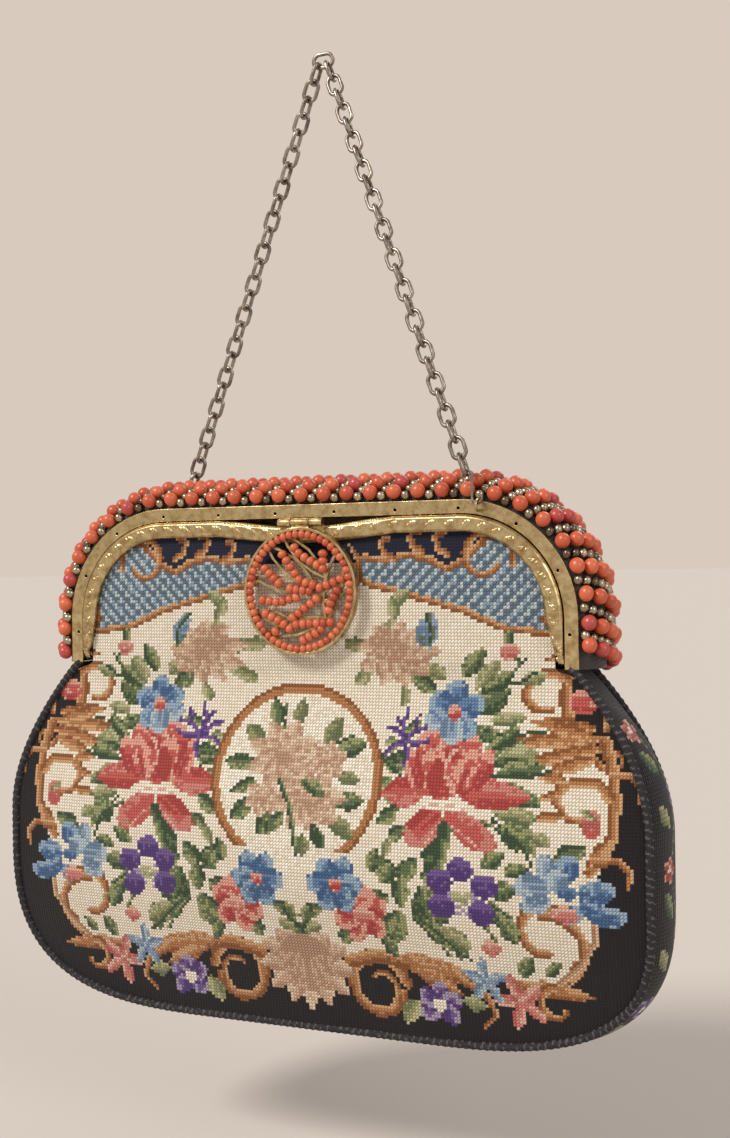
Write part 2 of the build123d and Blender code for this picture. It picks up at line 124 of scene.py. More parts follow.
camera_data = bpy.data.cameras.new("camera")
camera_data.sensor_fit = "HORIZONTAL"
camera_data.sensor_width = 36.0
camera_data.lens = FOCAL_PIXELS / PHOTO_WIDTH * camera_data.sensor_width
camera = bpy.data.objects.new("camera", camera_data)
bpy.context.scene.collection.objects.link(camera)
turn = (Matrix.Rotation(math.radians(camera_yaw), 4, "Z")
        @ Matrix.Rotation(math.radians(90 - camera_pitch), 4, "X")
        @ Matrix.Rotation(math.radians(camera_roll), 4, "Z"))
camera.matrix_world = Matrix.Translation(in_metres(camera_place)) @ turn
bpy.context.scene.camera = camera
print("lens", round(camera_data.lens, 1), "mm")

# %% [markdown]
# The pouch swells from a flat mouth to a full belly and tucks in at the bottom. Three curves
# say it all: the half width between the side seams, the depth of the belly, and the depth of
# the seams. Each is a smooth step between a few sizes, and they match the solid pouch.
# %% The pouch's curves
mouth_height, bottom_height, full_height = 27.6, -70.0, -30.0
mouth_half, seam_half, bottom_flat = 72.4, 92.5, 30.0
mouth_depth, belly_depth, seam_depth, bottom_depth = 8.5, 18.3, 13.0, 8.0
gusset_bulge = 3.6


def smooth_step(t):
    """0 below 0, 1 above 1, and an even S between."""
    t = np.clip(t, 0, 1)
    return t * t * (3 - 2 * t)


def seam_x(z):
    """Half width at a height: a quarter sine at the shoulder, a rounded corner below."""
    rise = np.sin(np.clip((mouth_height - z) / 42, 0, 1) * np.pi / 2) ** 0.85
    corner = np.clip((full_height - z) / (full_height - bottom_height), 0, 1)
    return (mouth_half + (seam_half - mouth_half) * rise
            - (seam_half - bottom_flat) * (1 - (1 - corner ** 3) ** (1 / 3)))


def belly_y(z):
    """Depth of the panel's middle in front of the bag's middle."""
    swell = mouth_depth + (belly_depth - mouth_depth) * smooth_step((mouth_height - z) / 48)
    tuck = smooth_step((-26 - z) / (-26 - bottom_height))
    return swell + (bottom_depth - belly_depth) * tuck


def seam_y(z):
    """Depth of the seam where a panel meets the gusset."""
    swell = mouth_depth + (seam_depth - mouth_depth) * smooth_step((mouth_height - z) / 45)
    tuck = smooth_step((-26 - z) / (-26 - bottom_height))
    return swell + (bottom_depth - 0.6 - seam_depth) * tuck


print("belly", belly_y(-20.0).round(1), "mm in front of the middle")

# %% [markdown]
# The arch is a straight foot, a quarter circle, a straight top, and the same again mirrored.
# Pieces that follow it are given by how far they lie outside its edge.
# %% The arch's line
corner_radius, frame_foot = 31.0, 27.5
spring_height = frame_top - corner_radius
corner_x = half_width - corner_radius
side_length = spring_height - frame_foot
arch_length = 2 * side_length + np.pi * corner_radius + 2 * corner_x


def arch_line(distance, outward):
    """X, Z and the outward direction at a distance along the arch from its left foot."""
    half = arch_length / 2
    side = np.sign(distance - half)
    along = half - np.abs(distance - half)
    turn = np.clip((along - side_length) / corner_radius, 0, np.pi / 2)
    out_x, out_z = -np.cos(turn), np.sin(turn)
    x = -corner_x + (corner_radius + outward) * out_x
    z = spring_height + (corner_radius + outward) * out_z
    z = z - np.clip(side_length - along, 0, None)
    x = x + np.clip(along - side_length - corner_radius * np.pi / 2, 0, None)
    flip = np.where(side > 0, -1.0, 1.0)
    return x * flip, z, out_x * flip, out_z


print("arch", round(arch_length, 1), "mm long")

# %% [markdown]
# Needlework threads come in families of three tones, dark, middle and light, so that
# a flower can be shaded with three threads. Colours are written as they look in daylight and
# turned into the linear values that Blender mixes.
# %% The threads
def thread(red, green, blue):
    """A daylight colour from 0 to 255 as linear values."""
    value = np.array([red, green, blue]) / 255
    return np.where(value > 0.04045, ((value + 0.055) / 1.055) ** 2.4, value / 12.92)


black = thread(30, 26, 27)
navy = thread(24, 30, 52)
cream, cream_light = thread(233, 222, 200), thread(243, 235, 218)
browns = (thread(138, 86, 48), thread(178, 122, 76), thread(206, 160, 116))
pale_browns = (thread(168, 126, 92), thread(192, 150, 114), thread(212, 180, 146))
reds = (thread(168, 66, 62), thread(194, 92, 84), thread(222, 160, 142))
pinks = (thread(180, 96, 90), thread(204, 130, 118), thread(224, 176, 158))
greens = (thread(58, 78, 54), thread(96, 112, 76), thread(150, 154, 108))
pale_greens = (thread(112, 120, 84), thread(148, 150, 106), thread(182, 180, 138))
purples = (thread(82, 56, 118), thread(112, 86, 146), thread(164, 148, 176))
blues = (thread(68, 98, 138), thread(98, 130, 168), thread(146, 170, 192))
pale_blues = (thread(106, 130, 156), thread(140, 162, 184), thread(176, 192, 202))
beiges = (thread(180, 144, 118), thread(204, 172, 144), thread(222, 198, 172))
trellis_dark, trellis_mid = thread(92, 112, 128), thread(136, 158, 176)
trellis_light = thread(184, 196, 200)
families = (browns, pale_browns, reds, pinks, greens, pale_greens, purples, blues, pale_blues, beiges)
print("threads:", len(families), "families of", len(browns), "tones")

# %% [markdown]
# The needlework is painted by formulas: each stitch is one small face with one colour, as on
# the real canvas. The pattern is the common one of such work, a ring of flowers with sprays,
# scrolls and a trellis. The canvas keeps the stitches' places and the colour of each so far.
# Every motif is drawn on both halves at once, because x is taken without its sign.
# %% The canvas
class Canvas:
    """Stitch places in millimetres, and the colour that each stitch has so far.

    The two halves aren't quite alike, as on the real canvas: on the right the rose sits a
    little nearer to the middle, and the two top roses sit a little to the left."""

    def __init__(self, x, z):
        self.signed = x
        half = np.abs(x)
        near_rose = np.exp(-((half - 44) / 17) ** 4 - ((z - 5) / 21) ** 4)
        near_top = np.exp(-((half - 30) / 13) ** 4 - ((z - 31) / 9) ** 4)
        self.x = half + np.where(x > 0, 3.6 * near_rose + 1.5 * near_top, -4.5 * near_top)
        self.z = z
        self.colour = np.zeros((len(x), 3)) + black
        self.grain = np.random.default_rng(7).random(len(x))

    def fill(self, mask, colour, light=None, share=None):
        """Colours the masked stitches; a second colour is scattered in by its share."""
        self.colour[mask] = colour
        if light is not None:
            some = mask & (self.grain < share)
            self.colour[some] = light

    def local(self, cx, cz, angle):
        """Distances along and across a line that starts at a point with an angle."""
        c, s = math.cos(math.radians(angle)), math.sin(math.radians(angle))
        dx, dz = self.x - cx, self.z - cz
        return dx * c + dz * s, dz * c - dx * s

    def inside(self, outline):
        """Stitches inside a closed outline, by counting the edges crossed to one side."""
        inside = np.zeros(len(self.x), bool)
        for (x0, z0), (x1, z1) in zip(outline, outline[1:] + outline[:1]):
            crosses = (z0 > self.z) != (z1 > self.z)
            with np.errstate(divide="ignore", invalid="ignore"):
                at = x0 + (self.z - z0) * (x1 - x0) / (z1 - z0)
            inside ^= crosses & (self.x < at)
        return inside


two = Canvas(np.array([0.0, 5.0]), np.zeros(2))
print("middle and side in a small square:", two.inside([(-1, -1), (1, -1), (1, 1), (-1, 1)]).tolist())

# %% [markdown]
# Four motifs make every flower: a leaf, a petal, a whole bloom and an oval spot. Each takes
# three tones of thread, dark, middle and light, and shades itself with them. Angles are in
# degrees from the right, and sizes are in millimetres.
# %% Leaves, petals, blooms and spots
class Motifs(Canvas):
    """Shapes for flowers, laid one over another."""

    def leaf(self, cx, cz, angle, length, width, tones):
        """A leaf: as wide as half a sine along its length, dark on one side of its rib."""
        along, across = self.local(cx, cz, angle)
        t = np.clip(along / length, 0, 1)
        edge = width / 2 * np.sin(np.pi * t) ** 0.8
        mask = (along > 0) & (along < length) & (np.abs(across) < edge)
        self.fill(mask, tones[1])
        self.fill(mask & (across > 0.15 * edge), tones[2], tones[1], 0.25)
        self.fill(mask & (across < -0.35 * edge), tones[0], tones[1], 0.25)

    def petal(self, cx, cz, angle, length, width, tones):
        """A petal: round at its end, dark at its heart and light at its rim."""
        along, across = self.local(cx, cz, angle)
        r = np.hypot((along - length * 0.55) / (length * 0.5), across / (width / 2))
        self.fill(r < 1, tones[0])
        self.fill((r < 1) & (across > -0.18 * width), tones[1])
        self.fill((r < 1) & (across > 0.16 * width), tones[2], tones[1], 0.2)
        self.fill((r < 0.95) & (along > length * 0.8), tones[2])
        vein = (np.abs(across) < 0.5) & (along > length * 0.1) & (along < length * 0.6)
        self.fill(vein, tones[0])

    def bloom(self, cx, cz, reach, count, width, tones, start=90, flat=1.0):
        """A full flower of pointed petals in two rings, the inner ring turned half a step."""
        for ring, share in ((0, 1.0), (1, 0.68)):
            for k in range(count):
                angle = start + 360 * (k + ring / 2) / count
                c, s = math.cos(math.radians(angle)), math.sin(math.radians(angle)) * flat
                length = reach * share * math.hypot(c, s)
                self.leaf(cx, cz, math.degrees(math.atan2(s, c)), length, width * share, tones)
        self.spot(cx, cz, reach * 0.2, reach * 0.2, (tones[0], tones[0], tones[1]))

    def spot(self, cx, cz, a, b, tones):
        """An oval, light at its upper rim and dark below."""
        along, across = self.x - cx, self.z - cz
        r = np.hypot(along / a, across / b)
        self.fill(r < 1, tones[1], tones[2], 0.2)
        self.fill((r < 1) & (across > 0.35 * b), tones[2])
        self.fill((r < 0.9) & (across < -0.4 * b), tones[0], tones[1], 0.3)


one = Motifs(np.linspace(-5, 5, 11), np.zeros(11))
one.spot(0, 0, 3.5, 3.5, browns)
print("stitches under a spot:", int((one.colour != black).any(axis=1).sum()))

# %% [markdown]
# Stems and scrolls are strokes. A stroke finds each stitch's nearest place on a bent line, so
# it knows how far along it is, to thin out to a tip, and on which side, to be darker there.
# A scroll is a stroke along an arc whose radius shrinks as it turns.
# %% Strokes and scrolls
class Painter(Motifs):
    """The canvas with every motif: flowers, stems and scrolls."""

    def stroke(self, points, width, tones, tip=1.0):
        """A bent line whose width goes from full to its tip's share, darker on one side."""
        points = np.array(points, float)
        best = np.full(len(self.x), 1e9)
        side = np.zeros(len(self.x))
        part = np.zeros(len(self.x))
        runs = np.linalg.norm(np.diff(points, axis=0), axis=1)
        start = np.concatenate([[0], np.cumsum(runs)]) / runs.sum()
        for k, run in enumerate(runs):
            d = (points[k + 1] - points[k]) / run
            ax, az = self.x - points[k, 0], self.z - points[k, 1]
            t = np.clip(ax * d[0] + az * d[1], 0, run)
            gap = np.hypot(ax - t * d[0], az - t * d[1])
            near = gap < best
            best = np.where(near, gap, best)
            side = np.where(near, ax * d[1] - az * d[0], side)
            part = np.where(near, start[k] + t / runs.sum(), part)
        half = width / 2 * (1 + (tip - 1) * part)
        mask = best < half
        self.fill(mask, tones[1])
        self.fill(mask & (side > half * 0.3), tones[0])
        self.fill(mask & (side < -half * 0.35), tones[2])

    def curl(self, cx, cz, r0, r1, a0, a1, width, tones, tip=0.6):
        """A scroll: an arc whose radius shrinks evenly as it turns."""
        angles = np.radians(np.linspace(a0, a1, 22))
        radii = np.linspace(r0, r1, 22)
        points = np.stack([cx + radii * np.cos(angles), cz + radii * np.sin(angles)], -1)
        self.stroke(points, width, tones, tip)


one = Painter(np.linspace(-5, 5, 11), np.zeros(11))
one.stroke([(0, -4), (0, 4)], 3, browns)
print("stitches across a stroke:", int((one.colour != black).any(axis=1).sum()))

# %% [markdown]
# The ground comes first: a cream field with a wavy edge on black, and a trellis field at each
# top corner. The outlines are half of the pattern only. The trellis is two sets of slanted
# lines over pale blue, and a light stitch stands in each of its squares.
# %% The ground
cream_outline = [(0, 56), (12, 55), (18, 49.5), (30, 46.5), (45, 42.3), (55, 38), (67, 36.5), (72, 30),
                 (71, 24), (71, 16), (74, 10), (80, 6), (83, 2), (86, -6), (86, -14), (82, -22), (80, -28),
                 (81, -36), (76, -46), (70, -51), (60, -53), (45, -51), (30, -49), (20, -48), (13, -49.5),
                 (8, -52), (0, -53)]
trellis_outline = [(15, 51), (18, 49.5), (30, 46.5), (45, 42.3), (55, 38), (67, 37), (70, 44), (66, 54),
                   (58, 61), (50, 61), (43, 54), (38, 54), (30, 57), (22, 56), (17, 56)]
trellis_pitch = 3.5
navy_above = 40


def paint_ground(p):
    """Navy along the top, the cream field, and the trellis over its corners."""
    p.fill(p.z > navy_above, navy)
    p.fill(p.inside(cream_outline), cream, cream_light, 0.45)
    field = p.inside(trellis_outline)
    across = np.mod(p.x + p.z, trellis_pitch) / trellis_pitch
    down = np.mod(p.x - p.z, trellis_pitch) / trellis_pitch
    p.fill(field, trellis_mid, trellis_light, 0.35)
    p.fill(field & (across < 0.25), trellis_mid, trellis_dark, 0.45)
    p.fill(field & (down < 0.36), trellis_dark, trellis_mid, 0.12)
    p.fill(field & (np.abs(across - 0.63) < 0.2) & (np.abs(down - 0.68) < 0.2), trellis_light)


print("cream field:", len(cream_outline), "corners; trellis:", len(trellis_outline), "corners")

# %% [markdown]
# Brown scrolls run along every border. The first are the bands under and over the trellis,
# with three small hooks and a double curl.
# %% Scrolls round the trellis
trellis_hooks = ((22, 56), (30, 57.5), (37, 57))


def paint_trellis_scrolls(p):
    """Bands, hooks and curls at the top corners."""
    p.stroke([(14, 54), (18, 49.5), (30, 46.5), (45, 42.3), (55, 38), (69, 36.3)], 1.9, browns, 1.0)
    p.stroke([(15, 50), (15.5, 56), (13, 60)], 2.6, browns, 0.3)
    p.stroke([(17, 56.5), (23, 55.5), (30, 57), (36, 55.5), (40, 53), (45, 55.5), (50, 60)],
             1.8, browns, 1.2)
    for x, z in trellis_hooks:
        hook = [(x + 3.5, z), (x + 0.8, z + 1.6), (x, z + 4), (x + 0.8, z + 5.4), (x + 2.4, z + 5.2)]
        p.stroke(hook, 2.2, browns, 0.6)
    p.curl(51, 56, 6.4, 3.6, 120, 330, 2.3, browns)
    p.curl(53, 55.5, 6.2, 5.0, 120, -20, 2.2, browns, 0.8)
    p.stroke([(58, 60), (64, 54), (67, 46), (66, 40), (69, 36)], 2.0, browns, 0.8)
    p.stroke([(70, 36), (69, 31), (66, 29.5)], 1.7, browns, 0.4)


print("trellis scrolls:", len(trellis_hooks), "hooks")

# %% [markdown]
# Down each side hangs a curl in a black bay, with long leaves side by side like the teeth of
# a comb. A thick band goes on down the edge, with a loop on each side of it.
# %% Scrolls down the sides
side_bay = [(72, 30), (71.5, 22), (73, 14), (82, 9), (92, 11), (92, 30)]
comb_leaves = (
    (82, 11, 186, 24, 4.4), (82, 8, 192, 21, 4.2), (80, 13, 176, 17, 3.8), (81, 6, 200, 15, 3.6),
    (82, 12, 80, 9, 4.2), (78, 11, 168, 12, 4))
loop_leaves = (
    (74, -0.6, 170, 9, 3.2), (73, -3, 200, 7, 2.6), (74, -9, 188, 9, 3), (84.5, -14, 236, 10, 3.6))


def paint_side_scrolls(p):
    """The curl and its comb of leaves, then the band and its loops."""
    p.fill(p.inside(side_bay), black)
    p.stroke([(73, 29.5), (71.5, 25), (71.3, 19), (73, 13.5), (78, 10)], 3.0, browns, 1.2)
    p.curl(66.8, 21, 6.2, 3.6, 40, 285, 2.8, browns, 0.7)
    for leaf in comb_leaves:
        p.leaf(*leaf, browns)
    p.stroke([(82, 13), (85, 16), (84, 20), (81.5, 22)], 1.8, browns, 0.5)
    p.curl(84, 5.5, 3.4, 1.6, 200, 420, 1.8, browns, 0.7)
    p.stroke([(82, 10), (84, 3), (85.3, -4), (85.3, -13), (82.5, -19), (79.5, -23)], 3.0, browns, 0.9)
    p.stroke([(84.5, 1.5), (89, 1.5), (91, -1), (91, -4.5)], 2.2, browns, 0.5)
    p.stroke([(84, -4), (81, -0.8), (75.5, -0.2), (71.5, -2), (71, -6), (73.5, -9.5), (77.5, -10.5)],
             3.0, browns, 0.6)
    for leaf in loop_leaves:
        p.leaf(*leaf, browns)
    p.stroke([(81, -20), (86, -19.5), (89, -22), (88.5, -26)], 2.8, browns, 0.5)


print("side scrolls:", len(comb_leaves + loop_leaves), "leaves")

# %% [markdown]
# Two curls turn at each lower corner. A second black bay is cut into the cream along the foot,
# and the largest curl and its long leaves lie in it.
# %% Scrolls along the foot
foot_bay = [(8, -64), (12, -56), (20, -49), (45, -51.5), (62, -54), (66, -62), (40, -70), (8, -70)]


def paint_foot_scrolls(p):
    """Curls at the corner, then the bay with its large curl and leaves."""
    p.curl(67.5, -39.5, 7.6, 4.6, 40, 275, 3.0, browns, 0.8)
    p.curl(69.5, -43, 8.4, 7.2, 105, -40, 2.8, browns, 0.8)
    p.leaf(77, -44, 235, 9, 3.6, browns)
    p.stroke([(80, -33), (80, -40), (76, -46), (70, -51), (66, -53)], 2.0, pale_browns, 0.6)
    p.fill(p.inside(foot_bay), black)
    p.curl(20.5, -56.5, 8.0, 6.8, 10, 345, 3.3, browns, 0.8)
    p.curl(20.5, -56.5, 6.0, 2.4, 320, 480, 2.2, browns, 0.5)
    p.stroke([(13, -51), (22, -48.8), (30, -50)], 3.6, browns, 1.1)
    p.leaf(24, -48.8, -9, 26, 6.2, browns)
    p.leaf(30, -51, -22, 15, 4.6, browns)
    p.stroke([(44, -53), (50, -56), (52, -61), (49, -64)], 2.4, browns, 0.6)
    p.leaf(57, -52.5, -4, 21, 4.4, browns)
    p.curl(68, -57, 4.6, 2.6, 90, 330, 2.6, browns, 0.6)


scrolls = (paint_trellis_scrolls, paint_side_scrolls, paint_foot_scrolls)
print("scroll groups:", len(scrolls))

# %% [markdown]
# Leaves lie behind the flowers, so they come before them. A leaf is its foot's x and z, its
# angle, its length and its width. Dark, pale and mixed leaves stand close together, and thin
# stems stick out between them.
# %% Leaves and stems
dark_leaves = (
    (54, 3, 35, 11, 7), (55, -3, -10, 10, 6), (34, -4, 200, 9, 6), (34, 2, 165, 8, 5),
    (58, -13, -25, 9, 8), (33, -14, 215, 7, 4), (50, 17, 30, 10, 8), (50, 12, -15, 9, 5),
    (36, 22, 120, 8, 5), (46, 25, 60, 9, 5), (41, -18, 255, 12, 5), (28, -30, 110, 8, 6),
    (33, -34, -20, 11, 9), (30, -36, 250, 10, 7), (27, -33, 200, 6, 6), (36, -38, -45, 9, 5),
    (53, -30, 10, 9, 5), (54, -34, -40, 10, 5), (58, -25, 20, 7, 4), (46, -40, 262, 8, 5),
    (16, -41, 230, 7, 5), (24, -43, 300, 7, 4), (3, -41, 250, 7, 5), (60, -51, 60, 7, 4),
    (66, -50, 40, 6, 3), (56, 32, 80, 6, 3), (79, -17, 200, 9, 5))
pale_leaves = (
    (58, 5, 10, 8, 5), (50, 22, 60, 9, 5), (60, 24, 20, 7, 4), (29, 6, 150, 5, 4),
    (48, 7, 20, 6, 3), (28, -17, 250, 6, 3), (65, -14, -30, 6, 4), (38, -31, 60, 8, 6),
    (42, -46, 80, 7, 3), (20, 36, 20, 9, 4), (24, 44, 30, 7, 4), (17, 31, -5, 8, 3))
mixed_leaves = (
    (56, 6, 50, 9, 4), (58, 1, 12, 10, 4.5), (60, -4, -20, 8, 4), (31, 0, 150, 8, 4),
    (30, -3, 185, 8, 4), (31, -9, 215, 9, 4.5), (57, -9, -8, 10, 5), (60, -13, -45, 9, 4.5),
    (35, -22, 235, 9, 5), (31, -27, 265, 9, 5), (36, -29, 285, 10, 6), (29, -37, 225, 9, 4.5),
    (40, -40, -30, 10, 5), (52, -24, 35, 8, 4), (56, -36, -55, 8, 4), (40, 21, 150, 9, 5),
    (52, 21, 40, 9, 4.5), (37, 13, 200, 6, 3.5), (55, 14, 10, 8, 4), (22, -27, 75, 7, 4),
    (8, -37, 200, 7, 4), (25, -30, 60, 7, 4))
thin_stems = (
    [(56, 6), (62, 11), (67, 12)], [(57, 0), (64, 0), (69, 2)], [(31, -1), (26, 2), (23, 5)],
    [(57, -11), (63, -17), (65, -22)], [(38, -40), (45, -46), (48, -48)],
    [(52, 22), (60, 24), (64, 27)])
leafy_stems = (
    [(55, 3), (60, 5), (66, 4)], [(55, -12), (62, -15), (66, -20)], [(35, 4), (29, 2)],
    [(34, -38), (40, -44), (42, -47)], [(54, -32), (60, -36)], [(50, 20), (57, 25), (61, 30)],
    [(52, -38), (55, -42)], [(48, 14), (58, 11)], [(60, 29), (55, 33)])


def paint_leaves(p):
    """Dark, pale and mixed leaves, and then the stems."""
    for leaf in dark_leaves:
        p.leaf(*leaf, greens)
    for leaf in pale_leaves:
        p.leaf(*leaf, pale_greens)
    for x, z, angle, length, width in mixed_leaves:
        tones = greens if (x + z) % 3 else (greens[1], pale_greens[1], pale_greens[2])
        p.leaf(x, z, angle, length, width, tones)
    for points in thin_stems:
        p.stroke(points, 0.9, (greens[0], greens[0], greens[0]), 0.8)
    for points in leafy_stems:
        p.stroke(points, 1.2, greens, 0.7)


print("leaves:", len(dark_leaves + pale_leaves + mixed_leaves), "stems:", len(thin_stems + leafy_stems))

# %% [markdown]
# The large rose at each side has petals that hang and spread, and a cup of round petals over
# them. Light folds are drawn over the cup, a pale rim parts it from the hanging petals, and
# its stalk goes down between them. An oval is its middle's x and z, and its two half widths.
# %% The large rose
cup_ovals = (
    (37.5, 1, 4.5, 6), (51.5, 1, 4.5, 6), (44.5, 2, 8, 8.5), (39, 7, 3.6, 4), (44.5, 9, 4.6, 3.6),
    (50, 7, 3.8, 4))
cup_petals = (
    (41.5, -6.5, 97, 12, 7), (48.5, -6, 72, 13, 7), (38, -5, 112, 12, 5.5), (51.8, -5, 68, 12, 5.5),
    (45.5, 2, 95, 8, 6))


def paint_rose(p):
    """Hanging petals, spread petals, the cup with its folds and rim, and the stalk."""
    for angle, tones in ((217, (reds[0], reds[1], pinks[1])), (-37, (reds[1], reds[1], pinks[1]))):
        p.petal(44.5, -9.6, angle, 14.5, 8.2, tones)
    p.stroke([(44.5, -12.6), (40.5, -15.2), (37, -19.2)], 1.0, (pinks[1], pinks[1], pinks[2]), 0.8)
    p.stroke([(44.5, -12.6), (48.8, -15.2), (52.5, -19.2)], 1.0, (pinks[1], pinks[1], pinks[2]), 0.8)
    p.leaf(41, -4.5, 184, 16.5, 8.2, (reds[0], reds[1], pinks[1]))
    p.leaf(48.5, -4.5, -2, 16.5, 8.2, (reds[0], reds[1], pinks[1]))
    for oval in cup_ovals:
        p.spot(*oval, reds)
    for petal in cup_petals:
        p.petal(*petal, reds)
    p.leaf(42, -6.5, 84, 11, 5, (reds[0], reds[0], reds[0]))
    p.stroke([(47.5, -5), (45, 0), (45.5, 5), (48, 7)], 1.2, (pinks[2], pinks[1], pinks[2]), 0.7)
    p.stroke([(41, 6), (43.5, 8), (47, 8)], 1.2, (pinks[2], pinks[1], pinks[2]))
    p.stroke([(39.5, -8.8), (44.5, -7.6), (49.5, -8.8)], 2.0, (cream_light, pinks[2], cream_light))
    p.stroke([(44.5, -14), (42.5, -18), (38, -21.5)], 3.6, (greens[0], greens[0], greens[1]), 0.8)
    p.stroke([(43, -18), (41, -24), (37, -27)], 3.4, greens, 0.7)


print("rose cup:", len(cup_ovals), "ovals,", len(cup_petals), "petals")

# %% [markdown]
# Smaller flowers stand round the rose: a blue one above it, a violet below, a blue and a red
# one beside the ring, and a spray of thin purple petals. Petals are set round a centre at
# their own angles, as no flower on the canvas is quite even.
# %% Flowers round the rose
six_petals = (60, 120, 0, 180, 240, 300)
spray = (
    [(32, 8), (30.5, 12), (31.5, 16.5)], [(32, 8), (35, 11), (38.5, 12)],
    [(32, 8), (28, 11), (25, 11.5)], [(32, 8), (27.5, 7), (25, 4.5)],
    [(32, 8), (36, 7.5), (39, 8.5)], [(32, 8), (33, 4), (32, 2)])


def paint_round_the_rose(p):
    """The blue flower, the violet, the pair beside the ring, and the purple spray."""
    for angle in (95, 20, -50, 200, 270, 150):
        p.petal(45.5, 16, angle, 8, 6.6, blues if angle < 180 else pale_blues)
    p.spot(45.5, 16, 2.1, 1.9, reds)
    p.spot(47, -31, 5.6, 5.4, (cream, purples[2], cream_light))
    for angle in (92, 24, -42, 212, 152):
        turn = math.radians(angle)
        x, z = 47 + 6.6 * math.cos(turn), -31 + 6.4 * math.sin(turn)
        p.spot(x, z, 3.5, 3.2, (purples[0], purples[0], purples[1]))
    p.spot(47, -31, 2.6, 2.4, (pale_greens[1], pale_greens[2], cream))
    for angle in six_petals:
        p.petal(11.5, -31, angle, 7.8, 6.2, blues)
    p.spot(11.5, -31, 2.0, 1.8, reds)
    p.spot(20, -35, 4.2, 4.2, reds)
    for angle in (20, -40, 250, 200):
        p.petal(18.5, -38, angle, 8, 6, reds)
    p.spot(19, -38.5, 2.8, 2.2, pinks)
    for points in spray:
        p.stroke(points, 1.5, (purples[0], purples[1], purples[1]), 0.8)
    p.stroke([(30, 12), (28, 14.5)], 1.2, (purples[0], purples[0], purples[1]))
    p.stroke([(35, 12), (35.5, 15)], 1.2, (purples[0], purples[0], purples[1]))


print("spray:", len(spray), "petals")

# %% [markdown]
# At the top a faded rose and a blue bud in a green cup flank the middle. At the outer edge is
# a blue flower whose inner petals are paler, with buds above and below it.
# %% Top and edge flowers
faded_rose_leaves = (
    (18, 33, 175, 7), (20, 27, 215, 7), (36, 28, -25, 7), (30, 23, 270, 6), (26, 40, 100, 6))
edge_petals = (
    (70, -28, 175, 9, 7), (70, -30, 205, 8, 5), (71, -26, 120, 7, 6), (73, -26, 75, 7, 6.5),
    (76, -29, 15, 9, 6), (76, -31, -20, 11, 5.5), (79, -30, 30, 7, 5), (72, -29, 95, 6, 6),
    (74, -31, -80, 5, 6), (81, -33, -5, 7, 4.5))
pale_up_to = 72


def paint_top_flowers(p):
    """The faded rose over its leaves, and the blue bud."""
    for x, z, angle, length in faded_rose_leaves:
        p.leaf(x, z, angle, length, 4, pale_greens)
    p.bloom(27.5, 31, 12.5, 9, 6.4, beiges, 85, 0.72)
    p.bloom(25, 33.5, 6, 6, 3.6, (beiges[0], beiges[0], beiges[1]), 60, 0.8)
    p.spot(36, 37, 3.2, 4.0, (greens[1], pale_blues[0], pale_blues[1]))
    p.stroke([(36, 41), (38, 36), (37, 33)], 2.4, (greens[0], greens[1], pale_blues[1]), 0.6)


def paint_edge_flowers(p):
    """The blue flower at the edge, and the buds near it."""
    for petal in edge_petals:
        p.petal(*petal, blues if petal[0] > pale_up_to else pale_blues)
    p.spot(74, -28.5, 2.2, 1.8, (blues[0], blues[0], blues[1]))
    p.spot(73, -34, 3.4, 2.2, pinks)
    p.spot(76, 19.5, 3.8, 3.2, reds)
    p.spot(79.8, -11, 2.5, 3.8, (reds[1], pinks[0], pinks[1]))
    p.leaf(81, -10, 150, 4.5, 2, pale_greens)


print("edge flower:", len(edge_petals), "petals")

# %% [markdown]
# Along the foot are a blue and a pink star flower, a violet with two leaves, and small buds.
# %% Foot flowers
def paint_foot_flowers(p):
    """Buds, the two stars, and the violet."""
    p.spot(57, 32, 2.6, 2.2, pinks)
    p.spot(53.5, -44, 2.3, 2.2, pinks)
    for angle in (90, 18, 162, 234, 306):
        p.leaf(50.5, -52.5, angle, 6.4, 2.8, (blues[1], pale_blues[1], pale_blues[2]))
        p.leaf(59, -57, angle + 20, 7.4, 3.4, pinks)
    for angle in (80, 20, -40, 215, 150):
        p.petal(37, -60, angle, 6.0, 5.0, purples)
    p.spot(37, -60, 1.8, 1.6, (cream, cream, cream_light))
    p.leaf(31, -59, 240, 8, 5, pale_greens)
    p.leaf(43, -58, -10, 7, 4, pale_greens)


flowers = (paint_leaves, paint_rose, paint_round_the_rose, paint_top_flowers, paint_edge_flowers,
           paint_foot_flowers)
print("flower groups:", len(flowers))

# %% [markdown]
# In the middle of the ring stands a nosegay: stems and leaves that point outward, and four
# faded roses over them.
# %% The nosegay
nosegay_stems = (
    [(-4, 4), (-12, 0), (-19, -1)], [(-6, -6), (-13, -10), (-18, -14)],
    [(-2, 6), (-5, 13), (-4, 17)], [(5, 0), (11, 7), (16, 9)], [(5, -9), (13, -10), (18, -9)])
nosegay_leaves = (
    (-10, 6, 140, 8, 5), (-12, 1, 182, 10, 5), (-11, -4, 205, 9, 4), (-12, -9, 225, 9, 5),
    (-7, -12, 250, 8, 4), (-6, 11, 105, 8, 5), (-1, 11, 75, 8, 4), (8, 6, 62, 9, 5),
    (11, 4, 20, 10, 5), (12, -2, -8, 7, 4), (12, -9, 5, 9, 5), (11, -13, -35, 9, 5),
    (4, -18, -95, 6, 4))


